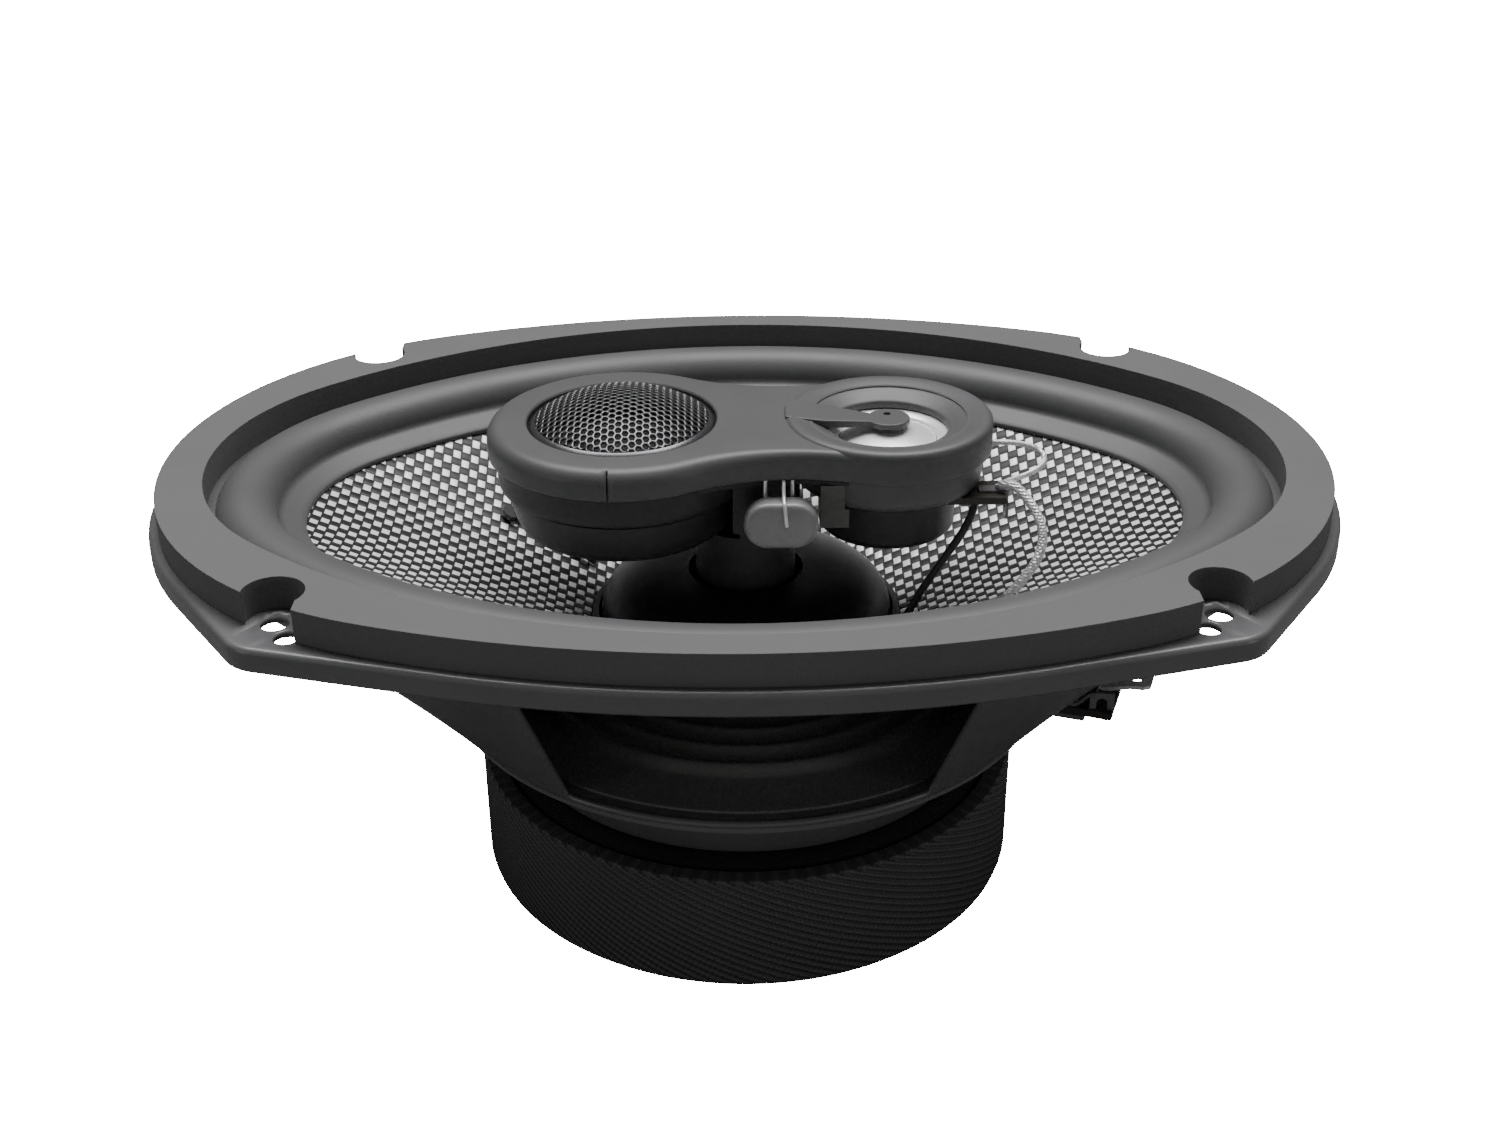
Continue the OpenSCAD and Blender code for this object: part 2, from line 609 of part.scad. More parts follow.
tw_pot_r = 12.2;
tw_slug_r = 8.4;
tw_coil_r = 9.4;
tw_pot_z = skirt_z - 7;
module tweeter_pot() {
    color("#6d6e70") translate([tweeter_x, 0, 0]) difference() {
        union() {
            translate([0, 0, tw_pot_z]) cylinder(r = tw_pot_r, h = tw_face_z - tw_pot_z - 2.2);
            tube(tw_r - 2.3, tw_coil_r + 0.7, tw_face_z - 3.4, tw_face_z - 2.2);
        }
        translate([0, 0, tw_pot_z + 1.6]) cylinder(r = tw_coil_r + 0.7, h = 20);
    }
}

module tweeter_magnet() {
    color("#9fa0a2") translate([tweeter_x, 0, tw_pot_z + 1.6]) cylinder(r = tw_slug_r, h = 2.6);
}

module tweeter_pole_piece() {
    color("#77787a") translate([tweeter_x, 0, tw_pot_z + 4.2]) cylinder(r = tw_slug_r, h = tw_face_z - 2.3 - tw_pot_z - 4.2);
}

module tweeter_dome() {
    s = 16;
    edge = tw_coil_r + 0.1;
    z0 = tw_face_z - 0.6;
    drop = sqrt(s * s - edge * edge);
    color("#dcdcde") translate([tweeter_x, 0, 0]) rotate_extrude() intersection() {
        translate([0, z0 - drop]) difference() {
            circle(s);
            circle(s - 0.35);
        }
        translate([0, z0]) square([edge, 10]);
    }
}

module tweeter_voice_coil() {
    color("#b5562b") translate([tweeter_x, 0, 0]) tube(tw_coil_r + 0.1, tw_coil_r - 0.4, tw_face_z - 3.9, tw_face_z - 0.6 - eps);
}

module tweeter_suspension() {
    color("#d0d0d2") translate([tweeter_x, 0, 0]) rotate_extrude() polygon([[tw_coil_r + 0.4, tw_face_z - 0.9],
        [tw_coil_r + 0.4, tw_face_z - 0.5], [11, tw_face_z + 0.3], [12.4, tw_face_z], [16.6, tw_face_z], [16.6, tw_face_z - 0.4],
        [12.3, tw_face_z - 0.4], [11, tw_face_z - 0.2]]);
}

// Arm and disc that stand over the tweeter's dome
module tweeter_phase_plug() {
    arm_h = 2.1;
    disc_r = 4.3;
    z0 = bridge_top - 1.6;
    color("#3d3d3f") translate([tweeter_x, 0, 0]) difference() {
        union() {
            translate([0, 0, z0]) cylinder(r = disc_r, h = arm_h);
            translate([0, 0, bridge_top]) linear_extrude(0.9)
                polygon([[0, -2.2], [0, 2.4], [-13, 5.2], [-21, 8.2], [-21, -1.4], [-13, -2.6]]);
            translate([0, 0, z0]) linear_extrude(arm_h) intersection() {
                polygon([[0, -2.2], [0, 2.4], [-tw_open_r, 4], [-tw_open_r, -2.2]]);
                circle(r = tw_open_r - 0.15);
            }
        }
        translate([-0.2, 1.6, z0 - 1]) cylinder(r = 0.6, h = 6);
    }
}

// ---- crossover parts and wiring ----

module film_capacitor() {
    half = (cap_l - cap_h) / 2;
    translate([cap_x, 0, base_z - 1.4 - cap_h / 2]) rotate([90, 0, 0]) translate([0, 0, -cap_t / 2]) {
        for (s = [-1, 1]) translate([s * half, 0, 0]) cylinder(r = cap_h / 2, h = cap_t);
        translate([-half, -cap_h / 2, 0]) cube([2 * half, cap_h, cap_t]);
    }
}
module tweeter_capacitor() {
    color("#8c8c8e") translate([0, -cap_y, 0]) film_capacitor();
}
module mid_capacitor() {
    color("#8c8c8e") translate([0, cap_y, 0]) film_capacitor();
}

module capacitor_leads() {
    wire_r = 0.4;
    lead_top = base_z - 0.05;
    color("#c9cacc") for (side = [-1, 1]) for (dx = [-3, 2.2])
        translate([cap_x + dx, side * (cap_y - cap_t / 2 - 0.45), lead_top - 5]) {
            cylinder(r = wire_r, h = 5);
            rotate([side * 90, 0, 0]) translate([0, 0, -0.44]) cylinder(r = wire_r, h = 0.44);
        }
}

module insulating_tag() {
    color("#b9b4a8") difference() {
        translate([14.5, -16.6, base_z - 9]) cube([5.6, 0.9, 9 - 0.05]);
        translate([tweeter_x, 0, tw_z - 0.1]) cylinder(r = tw_r + 0.1, h = 20);
    }
}

// Board and lugs under the tweeter's rim
module lug_board() {
    color("#3b2f22") difference() {
        translate([tweeter_x + 11, -12, tw_z - 1.5]) cube([11.5, 8, 1.45]);
        translate([tweeter_x, 0, tw_z - 5]) cylinder(r = tw_can_r + 0.1, h = 10);
    }
}
module solder_lugs() {
    lug_t = 0.5;
    color("#8b8c8f") {
        difference() {
            union() {
                translate([tweeter_x + 17.4, -9.8, tw_z - 0.05]) cube([5.8, 2.6, lug_t]);
                translate([tweeter_x + 22.7, -9.8, tw_z - 2.4]) cube([lug_t, 2.6, 2.4]);
                translate([tweeter_x + 22.7, -11.1, tw_z - 3.6]) cube([lug_t, 5.2, 1.3]);
                translate([tweeter_x + 22.7, -8.5, tw_z - 3.5]) rotate([0, 90, 0]) cylinder(r = 2.6, h = lug_t);
            }
            translate([tweeter_x + 20, -8.5, tw_z - 3.5]) rotate([0, 90, 0]) cylinder(r = 1, h = 6);
        }
        translate([tweeter_x + 13.5, -11.7, tw_z - 2.05]) cube([2.2, 3, lug_t]);
    }
}

module pod_braid() {
    color("#c4c5c7") lead(pod_braid_path, 0.6);
}

// Flexible leads from the bridge's lugs to the cone
module cone_braids() {
    color("#b2b3b5") {
        lead(cone_braid_path, 1.1);
        lead(sleeve_path, 0.8);
    }
}

// ---- terminals on the frame's wall ----

module in_term_frame() {
    rotate([0, 0, term_angle]) translate([0, 0, term_z]) children();
}

module terminal_board() {
    color("#4a3a28") in_term_frame() difference() {
        translate([board_in, -wall_slot_w / 2 + 0.2, 0]) cube([board_l - 4, wall_slot_w - 0.4, board_t]);
        for (y = [-4.6, -0.6, 4.6]) translate([ring_r + (y == -0.6 ? 7 : 9), y, -1]) cylinder(r = 1.2, h = 5);
    }
}

module spade(w, l, lift) {
    translate([ring_r + 6, -w / 2, lift]) cube([l, w, spade_t]);
}
module large_spade() {
    w = 6.3;
    color("#dcdde0") in_term_frame() difference() {
        union() {
            translate([ring_r + 2, 4.2 - w / 2, board_t]) cube([20, w, spade_t]);
        }
        translate([ring_r + 9, 4.6, -1]) cylinder(r = 1.2, h = 5);
        translate([ring_r + 18.5, 4.6, -1]) cylinder(r = 1.1, h = 6);
    }
}
module small_spade() {
    w = 4.8;
    out_x = ring_r + board_l - 4;
    color("#b4b5b8") in_term_frame() difference() {
        union() {
            translate([ring_r + 2, -4.6 - w / 2, board_t]) cube([board_l - 6 + spade_t, w, spade_t]);
            translate([out_x - 0.0 , -4.6 - w / 2, board_t - 7.5]) cube([spade_t, w, 7.5 + spade_t]);
        }
        translate([ring_r + 9, -4.6, -1]) cylinder(r = 1.2, h = 5);
        translate([out_x - 2, -4.6, board_t - 4.8]) rotate([0, 90, 0]) cylinder(r = 0.9, h = 5);
    }
}

module terminal_rivets() {
    color("#a9aaac") in_term_frame() {
        for (y = [-4.6, 4.6]) translate([ring_r + 9, y, 0]) {
            cylinder(r = 1.18, h = board_t + spade_t);
            translate([0, 0, board_t + spade_t]) cylinder(r = 2, h = 0.7);
        }
        translate([ring_r + 7, -0.6, -steel_t]) cylinder(r = 1.18, h = board_t + steel_t);
        translate([ring_r + 7, -0.6, board_t]) cylinder(r = 1.45, h = 0.7);
    }
}

// Flexible leads from the spades to the back of the cone
module tinsel_leads() {
    color("#c2a070") in_term_frame() for (side = [-1, 1])
        lead([for (p = tinsel_path) [p[0], side * p[1], p[2] + board_t + spade_t + 0.65]], 0.6);
}

basket();
gasket();
surround();
spider();
woofer_cone();
dust_cap();
coil_former();
woofer_voice_coil();
coil_leads();
lead_patches();
top_plate();
ring_magnet();
pole_yoke();
magnet_boot();
plate_rivets();
centre_post();
post_bolt();
bridge_base();
bridge_screw();
bridge_cover();
mid_housing();
mid_back_cover();
mid_pot();
mid_magnet();
mid_pole_piece();
mid_diaphragm();
mid_voice_coil();
mid_suspension();
mid_grille();
tweeter_housing();
tweeter_back_can();
tweeter_pot();
tweeter_magnet();
tweeter_pole_piece();
tweeter_dome();
tweeter_voice_coil();
tweeter_suspension();
tweeter_phase_plug();
tweeter_capacitor();
mid_capacitor();
capacitor_leads();
insulating_tag();
lug_board();
solder_lugs();
pod_braid();
cone_braids();
terminal_board();
large_spade();
small_spade();
terminal_rivets();
tinsel_leads();
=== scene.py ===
import math

import bmesh
import bpy
import numpy as np
from mathutils import Matrix, Vector


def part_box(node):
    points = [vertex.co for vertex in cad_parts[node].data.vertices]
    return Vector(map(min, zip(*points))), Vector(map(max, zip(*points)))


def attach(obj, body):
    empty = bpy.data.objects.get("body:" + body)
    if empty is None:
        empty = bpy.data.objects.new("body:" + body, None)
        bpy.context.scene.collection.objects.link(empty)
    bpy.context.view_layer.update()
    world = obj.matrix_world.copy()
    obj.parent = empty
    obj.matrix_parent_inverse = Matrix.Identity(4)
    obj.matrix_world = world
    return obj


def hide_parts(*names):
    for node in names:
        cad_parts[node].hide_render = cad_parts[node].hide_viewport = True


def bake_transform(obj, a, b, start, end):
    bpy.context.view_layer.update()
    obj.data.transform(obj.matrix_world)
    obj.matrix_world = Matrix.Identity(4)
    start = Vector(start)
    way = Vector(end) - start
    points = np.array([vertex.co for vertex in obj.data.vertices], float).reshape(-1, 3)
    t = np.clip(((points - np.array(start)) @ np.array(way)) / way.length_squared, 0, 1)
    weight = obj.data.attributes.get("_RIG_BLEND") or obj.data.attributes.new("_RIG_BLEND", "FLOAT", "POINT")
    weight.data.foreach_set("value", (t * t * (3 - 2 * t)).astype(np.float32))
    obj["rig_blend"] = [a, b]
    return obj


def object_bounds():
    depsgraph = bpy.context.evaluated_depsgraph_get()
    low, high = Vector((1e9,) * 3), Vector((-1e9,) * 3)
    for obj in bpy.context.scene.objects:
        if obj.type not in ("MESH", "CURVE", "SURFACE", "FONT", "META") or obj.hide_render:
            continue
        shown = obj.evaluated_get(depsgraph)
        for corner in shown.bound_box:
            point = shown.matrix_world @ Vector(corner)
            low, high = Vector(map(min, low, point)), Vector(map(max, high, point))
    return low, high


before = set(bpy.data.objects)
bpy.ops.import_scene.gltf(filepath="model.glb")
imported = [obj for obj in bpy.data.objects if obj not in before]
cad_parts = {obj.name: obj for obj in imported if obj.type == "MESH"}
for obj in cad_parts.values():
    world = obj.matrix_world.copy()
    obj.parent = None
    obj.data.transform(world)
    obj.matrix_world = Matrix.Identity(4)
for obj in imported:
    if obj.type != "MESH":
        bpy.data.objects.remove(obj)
cad_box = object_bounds()

# ---------------------------------------------------------------- camera
# A short tele lens held a little above the front rim, as a catalogue picture
# of a speaker is taken. Distances here and below are in millimetres.
MM = 0.001
pitch, yaw, roll = math.radians(27.213), math.radians(0.465), math.radians(-0.357)
lens_data = bpy.data.cameras.new("catalogue_lens")
lens_data.sensor_width = 36
lens_data.lens = 45.59
lens_data.clip_start = 0.01
catalogue_camera = bpy.data.objects.new("catalogue_camera", lens_data)
bpy.context.collection.objects.link(catalogue_camera)
turn = (Matrix.Rotation(-yaw, 4, "Z") @ Matrix.Rotation(math.pi / 2 - pitch, 4, "X")
        @ Matrix.Rotation(roll, 4, "Z"))
catalogue_camera.matrix_world = Matrix.Translation(Vector((-1.913, -347.93, 165.2)) * MM) @ turn
bpy.context.scene.camera = catalogue_camera

# ---------------------------------------------------------------- studio
# A pure white table and sky that light the speaker only faintly, and a large
# soft box overhead, so level faces read mid grey and upright ones stay dark.
table_z = cad_box[0][2]
white_glow = 40


def seen_white(tree, lit, glow_kind, output):
    """Lets the camera see a white glow where everything else meets the lit surface."""
    glow = tree.nodes.new(glow_kind)
    glow.inputs["Strength"].default_value = white_glow
    seen = tree.nodes.new("ShaderNodeLightPath")
    choice = tree.nodes.new("ShaderNodeMixShader")
    tree.links.new(seen.outputs["Is Camera Ray"], choice.inputs[0])
    tree.links.new(lit.outputs[0], choice.inputs[1])
    tree.links.new(glow.outputs[0], choice.inputs[2])
    tree.links.new(choice.outputs[0], tree.nodes[output].inputs["Surface"])


bm = bmesh.new()
bmesh.ops.create_grid(bm, x_segments=1, y_segments=1, size=6)
bmesh.ops.translate(bm, vec=(0, 0, table_z - 0.0002), verts=bm.verts)
table_mesh = bpy.data.meshes.new("white_table")
bm.to_mesh(table_mesh)
bm.free()
white_table = bpy.data.objects.new("white_table", table_mesh)
bpy.context.collection.objects.link(white_table)
table_paint = bpy.data.materials.new("white_table_paint")
table_paint.use_nodes = True
table_bsdf = table_paint.node_tree.nodes["Principled BSDF"]
table_bsdf.inputs["Base Color"].default_value = (0.16, 0.16, 0.16, 1)
table_bsdf.inputs["Roughness"].default_value = 0.9
table_bsdf.inputs["Specular IOR Level"].default_value = 0.0
seen_white(table_paint.node_tree, table_bsdf, "ShaderNodeEmission", "Material Output")
table_mesh.materials.append(table_paint)

sky = bpy.data.worlds.new("studio_sky")
sky.use_nodes = True
sky.node_tree.nodes["Background"].inputs["Color"].default_value = (1, 1, 1, 1)
sky.node_tree.nodes["Background"].inputs["Strength"].default_value = 0.10
seen_white(sky.node_tree, sky.node_tree.nodes["Background"], "ShaderNodeBackground", "World Output")
bpy.context.scene.world = sky


def soft_box(name, place, aim, size, power):
    """A rectangular area light at a place, turned to face its aim."""
    light = bpy.data.lights.new(name, "AREA")
    light.shape = "RECTANGLE"
    light.size, light.size_y = size
    light.energy = power
    lamp = bpy.data.objects.new(name, light)
    bpy.context.collection.objects.link(lamp)
    heading = Vector(aim) - Vector(place)
    lamp.matrix_world = Matrix.Translation(place) @ heading.to_track_quat("-Z", "Y").to_matrix().to_4x4()


soft_box("overhead_box", (0, 0.36, 1.2), (0, 0, 0), (1.4, 0.6), 27)
soft_box("low_front_fill", (0, -1.5, 0.0), (0, 0, -0.05), (1.6, 0.4), 1.1)
soft_box("low_left_fill", (-1.1, -0.7, 0.02), (0, 0, -0.05), (0.4, 0.5), 1.5)
soft_box("low_right_fill", (1.1, -0.7, 0.02), (0, 0, -0.05), (0.4, 0.5), 1.6)

# ---------------------------------------------------------------- pressed frame
# The steel basket: flange with a turned-down lip and four ears, walls pressed
# through in front and behind, a landing for the spider and a flat base.
basket_hi = Vector(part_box("basket")[1]) / MM
gasket_lo, gasket_hi = (Vector(c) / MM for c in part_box("gasket"))
lip_h = basket_hi.z
steel_t = 1.2
ear_r = 9.6
hole_at = Vector((165.1 / 2, 114.3 / 2))
out_a, out_b = basket_hi.x, 165 / 2
end_inset = 7.5
end_r = out_b - end_inset
in_a, in_b = gasket_hi.x - 8.7, gasket_hi.y - 6.6
in_r = in_b - 21.8
ring_steps = 240


def side_radius(a, b, r):
    """Radius of the long side arcs that run into end arcs of radius r."""
    return ((a - r) ** 2 + b * b - r * r) / (2 * (b - r))


def oval_reach(t, a, b, r):
    """Distance from the centre to a four-arc oval, at angle t."""
    s = side_radius(a, b, r)
    c, d = a - r, s - b
    k = c * abs(math.cos(t)) + math.sqrt(max(0.0, r * r - (c * math.sin(t)) ** 2))
    lean = math.atan2(k * abs(math.sin(t)), k * abs(math.cos(t)) - c)
    if lean <= math.atan2(d, c):
        return k
    return -d * abs(math.sin(t)) + math.sqrt(s * s - (d * math.cos(t)) ** 2)


def opening_ring(grow, z, steps=ring_steps):
    """A level ring round the gasket's opening, grown outwards."""
    ring = []
    for i in range(steps):
        t = 2 * math.pi * i / steps
        k = oval_reach(t, in_a + grow, in_b + grow, in_r + grow)
        ring.append(Vector((k * math.cos(t), k * math.sin(t), z)))
    return ring


def round_ring(radius, z, steps=ring_steps, centre=(0, 0)):
    """A level round ring."""
    return [Vector((centre[0] + radius * math.cos(2 * math.pi * i / steps),
                    centre[1] + radius * math.sin(2 * math.pi * i / steps), z)) for i in range(steps)]


def flange_ring(inset, z, steps=ring_steps):
    """The flange's outline with its ears, as the outermost arc in each direction."""
    a, b, r = out_a, out_b, end_r
    s = side_radius(a, b, r)
    join = math.atan2(s - b, a - r)
    ring = []
    for i in range(steps):
        t = 2 * math.pi * (i + 0.5) / steps
        n = Vector((math.cos(t), math.sin(t)))
        sx, sy = math.copysign(1, n.x), math.copysign(1, n.y)
        if math.atan2(abs(n.y), abs(n.x)) <= join:
            arcs = [(Vector((sx * (a - r), 0)), r)]
        else:
            arcs = [(Vector((0, -sy * (s - b))), s)]
        arcs.append((Vector((sx * hole_at.x, sy * hole_at.y)), ear_r))
        centre, radius = max(arcs, key=lambda arc: arc[0].dot(n) + arc[1])
        p = centre + n * (radius - inset)
        ring.append(Vector((p.x, p.y, z)))
    return ring


def new_points(made):
    """The points that an extrusion or a copy has just made."""
    return [g for g in made["geom"] if isinstance(g, bmesh.types.BMVert)]


def slice_at(bm, place, facing):
    """Cuts every face that a plane crosses."""
    bmesh.ops.bisect_plane(bm, geom=bm.verts[:] + bm.edges[:] + bm.faces[:], dist=1e-4,
                           plane_co=place, plane_no=facing)


def face_up(bm):
    """Turns an open sheet the same way all over, with most of it facing up."""
    bmesh.ops.recalc_face_normals(bm, faces=bm.faces)
    if sum(f.normal.z * f.calc_area() for f in bm.faces) < 0:
        bmesh.ops.reverse_faces(bm, faces=bm.faces)


def loop_of(bm, ring):
    """A closed loop of edges through the ring's points."""
    verts = [bm.verts.new(p) for p in ring]
    return verts, [bm.edges.new((verts[i - 1], verts[i])) for i in range(len(verts))]


def walk(bm, verts, edges, rings):
    """Draws the loop out through each ring in turn, like a drawn sheet."""
    for ring in rings:
        fresh = set(new_points(bmesh.ops.extrude_edge_only(bm, edges=edges)))
        above = {}
        for v in fresh:
            for e in v.link_edges:
                if e.other_vert(v) not in fresh:
                    above[e.other_vert(v)] = v
        verts = [above[v] for v in verts]
        for v, p in zip(verts, ring):
            v.co = p
        edges = [bm.edges.get((verts[i - 1], verts[i])) for i in range(len(verts))]
    return verts, edges


def ring_body(bm, rings):
    """A closed ring whose cross-section runs through the given rings."""
    verts, edges = loop_of(bm, rings[0])
    walk(bm, verts, edges, rings[1:] + rings[:1])
    bmesh.ops.remove_doubles(bm, verts=bm.verts, dist=1e-4)
    bmesh.ops.recalc_face_normals(bm, faces=bm.faces)


def turned(bm, outline, centre=(0, 0), steps=128, closed=True):
    """Turns an outline of (radius, height) points about an upright axis."""
    verts = [bm.verts.new((centre[0] + r, centre[1], z)) for r, z in outline]
    pairs = list(zip(verts, verts[1:])) + ([(verts[-1], verts[0])] if closed else [])
    edges = [bm.edges.new(p) for p in pairs]
    bmesh.ops.spin(bm, geom=verts + edges, cent=(centre[0], centre[1], 0), axis=(0, 0, 1),
                   angle=2 * math.pi, steps=steps, use_merge=True)
    bmesh.ops.remove_doubles(bm, verts=bm.verts, dist=1e-4)
    bmesh.ops.recalc_face_normals(bm, faces=bm.faces)


def arc_points(centre, radius, start, stop, count):
    """Points on an arc of an outline, from one angle to another in degrees."""
    return [(centre[0] + radius * math.cos(math.radians(start + (stop - start) * i / count)),
             centre[1] + radius * math.sin(math.radians(start + (stop - start) * i / count)))
            for i in range(count + 1)]


def finish_piece(bm, name, body="frame", sharp=35):
    """Brings the piece to metres, shades it and lets it ride on its body."""
    bmesh.ops.scale(bm, vec=(MM, MM, MM), verts=bm.verts)
    mesh = bpy.data.meshes.new(name)
    bm.to_mesh(mesh)
    bm.free()
    piece = bpy.data.objects.new(name, mesh)
    bpy.context.collection.objects.link(piece)
    mesh.shade_smooth()
    mesh.set_sharp_from_angle(angle=math.radians(sharp))
    if body:
        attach(piece, body)
    return piece


def soften(piece, width, segments=3, angle=35):
    """Rounds the piece's edges by a small radius."""
    bevel = piece.modifiers.new("rounded_edges", "BEVEL")
    bevel.width = width * MM
    bevel.segments = segments
    bevel.limit_method = "ANGLE"
    bevel.angle_limit = math.radians(angle)
    bevel.harden_normals = True


def thicken(piece, wall):
    """Gives a sheet its wall, behind its face."""
    shell = piece.modifiers.new("wall", "SOLIDIFY")
    shell.thickness = wall * MM
    shell.offset = -1.0
    shell.use_even_offset = True


def relief(tree, height, depth, below=None):
    """Raises the surface by a height, over the relief below it, and hands back the normal."""
    bump = tree.nodes.new("ShaderNodeBump")
    bump.inputs["Strength"].default_value = 1
    bump.inputs["Distance"].default_value = depth * MM
    tree.links.new(height, bump.inputs["Height"])
    if below:
        tree.links.new(below, bump.inputs["Normal"])
    return bump.outputs["Normal"]


def grain_group():
    """Fine moulding or casting grain: a roughness that varies and a height."""
    group = bpy.data.node_groups.new("moulding_grain", "ShaderNodeTree")
    for label, low in (("Size", 0.3), ("Rough From", 0.4), ("Rough To", 0.6)):
        group.interface.new_socket(label, in_out="INPUT", socket_type="NodeSocketFloat").default_value = low
    for label in ("Roughness", "Height", "Shade"):
        group.interface.new_socket(label, in_out="OUTPUT", socket_type="NodeSocketFloat")
    n, link = group.nodes, group.links.new
    inside, outside = n.new("NodeGroupInput"), n.new("NodeGroupOutput")
    place = n.new("ShaderNodeTexCoord")
    density = n.new("ShaderNodeMath")
    density.operation = "DIVIDE"
    density.inputs[0].default_value = 1.0
    metres = n.new("ShaderNodeMath")
    metres.operation = "MULTIPLY"
    metres.inputs[1].default_value = MM
    link(inside.outputs["Size"], metres.inputs[0])
    link(metres.outputs[0], density.inputs[1])
    fine = n.new("ShaderNodeTexNoise")
    fine.inputs["Detail"].default_value = 3
    link(place.outputs["Object"], fine.inputs["Vector"])
    link(density.outputs[0], fine.inputs["Scale"])
    broad = n.new("ShaderNodeTexNoise")
    broad.inputs["Scale"].default_value = 45
    broad.inputs["Detail"].default_value = 4
    link(place.outputs["Object"], broad.inputs["Vector"])
    blend = n.new("ShaderNodeMath")
    blend.operation = "MULTIPLY_ADD"
    blend.inputs[1].default_value = 0.45
    link(fine.outputs["Fac"], blend.inputs[0])
    half = n.new("ShaderNodeMath")
    half.operation = "MULTIPLY"
    half.inputs[1].default_value = 0.55
    link(broad.outputs["Fac"], half.inputs[0])
    link(half.outputs[0], blend.inputs[2])
    rough = n.new("ShaderNodeMapRange")
    rough.inputs["From Min"].default_value = 0.3
    rough.inputs["From Max"].default_value = 0.7
    link(blend.outputs[0], rough.inputs["Value"])
    link(inside.outputs["Rough From"], rough.inputs["To Min"])
    link(inside.outputs["Rough To"], rough.inputs["To Max"])
    link(rough.outputs["Result"], outside.inputs["Roughness"])
    link(fine.outputs["Fac"], outside.inputs["Height"])
    link(broad.outputs["Fac"], outside.inputs["Shade"])
    return group


moulding_grain = grain_group()


def grained(name, dark, light, rough, size, height, metallic=0.0, coat=0.0, coat_rough=0.2, specular=0.5):
    """A finish with the moulding grain in its colour, roughness and surface."""
    finish = bpy.data.materials.new(name)
    finish.use_nodes = True
    n, link = finish.node_tree.nodes, finish.node_tree.links.new
    bsdf = n["Principled BSDF"]
    bsdf.inputs["Metallic"].default_value = metallic
    bsdf.inputs["Coat Weight"].default_value = coat
    bsdf.inputs["Coat Roughness"].default_value = coat_rough
    bsdf.inputs["Specular IOR Level"].default_value = specular
    grain = n.new("ShaderNodeGroup")
    grain.node_tree = moulding_grain
    grain.inputs["Size"].default_value = size
    grain.inputs["Rough From"].default_value, grain.inputs["Rough To"].default_value = rough
    tone = n.new("ShaderNodeMix")
    tone.data_type = "RGBA"
    tone.inputs["A"].default_value = (*dark, 1)
    tone.inputs["B"].default_value = (*light, 1)
    link(grain.outputs["Shade"], tone.inputs["Factor"])
    link(tone.outputs["Result"], bsdf.inputs["Base Color"])
    link(grain.outputs["Roughness"], bsdf.inputs["Roughness"])
    link(relief(finish.node_tree, grain.outputs["Height"], height), bsdf.inputs["Normal"])
    return finish


def paint(piece, finish):
    """Gives a piece its finish, as its only material."""
    piece.data.materials.clear()
    piece.data.materials.append(finish)


frame_paint = grained("frame_paint", (0.120, 0.120, 0.124), (0.155, 0.155, 0.160), (0.30, 0.42), 0.25, 0.012,
                      coat=0.25, coat_rough=0.25)

# flange sheet: filled between its outline, the opening and the holes, then the lip is drawn down
bm = bmesh.new()
rim_round = 1.1
outer_verts, outer_edges = loop_of(bm, flange_ring(rim_round, lip_h))
inner_edges = loop_of(bm, opening_ring(2.9, lip_h, 120))[1]
edges = outer_edges + inner_edges
for sx in (-1, 1):
    for sy in (-1, 1):
        for reach, radius in (((0, 0), 2.6), ((-3, 5.1), 2.3)):
            at = (sx * (hole_at.x + reach[0]), sy * (hole_at.y + reach[1]))
            edges += loop_of(bm, round_ring(radius, lip_h, 32, at))[1]
bmesh.ops.triangle_fill(bm, use_beauty=True, edges=edges, normal=(0, 0, 1))
for face in bm.faces:
    if face.normal.z < 0:
        face.normal_flip()
corner = [flange_ring(inset + rim_round, z)
          for inset, z in arc_points((0, lip_h - rim_round), -rim_round, -90, 0, 4)[1:]]
walk(bm, outer_verts, outer_edges, corner + [flange_ring(0, 0.35), flange_ring(0.1, 0.1)])
face_up(bm)
frame_flange = finish_piece(bm, "frame_flange", sharp=50)
thicken(frame_flange, steel_t)
paint(frame_flange, frame_paint)

# walls: a sheet from the surround's seat down to the landing, pressed through in front and behind
landing_z = -35.2
ring_r = 62
wall_rings = [opening_ring(2.85, lip_h - 0.8), opening_ring(-1.0, lip_h - 0.8), opening_ring(-1.0, -2.2)]
foot = round_ring(ring_r - 1.1, landing_z - 1.4)
brow = opening_ring(-1.0, -3.4)
wall_rings += [[p.lerp(q, k / 8) for p, q in zip(brow, foot)] for k in range(9)]
bm = bmesh.new()
verts, edges = loop_of(bm, wall_rings[0])
walk(bm, verts, edges, wall_rings[1:])
window_top, window_foot = (41, -5.0), (33.5, landing_z + 0.3)
lean = Vector((window_top[0] - window_foot[0], 0, window_top[1] - window_foot[1]))
for side in (-1, 1):
    for sx in (-1, 1):
        slice_at(bm, (sx * window_top[0], 0, window_top[1]), (lean.z, 0, -sx * lean.x))
for level in (window_top[1], window_foot[1]):
    slice_at(bm, (0, 0, level), (0, 0, 1))


def in_window(p):
    """Tells whether a point of the wall lies in the front or rear window."""
    share = (p.z - window_foot[1]) / (window_top[1] - window_foot[1])
    return 0 < share < 1 and abs(p.x) < window_foot[0] + share * (window_top[0] - window_foot[0])


terminal_turn = math.radians(-20)
terminal_z = landing_z + 3.2
slot_half, slot_h = 7.5, 5


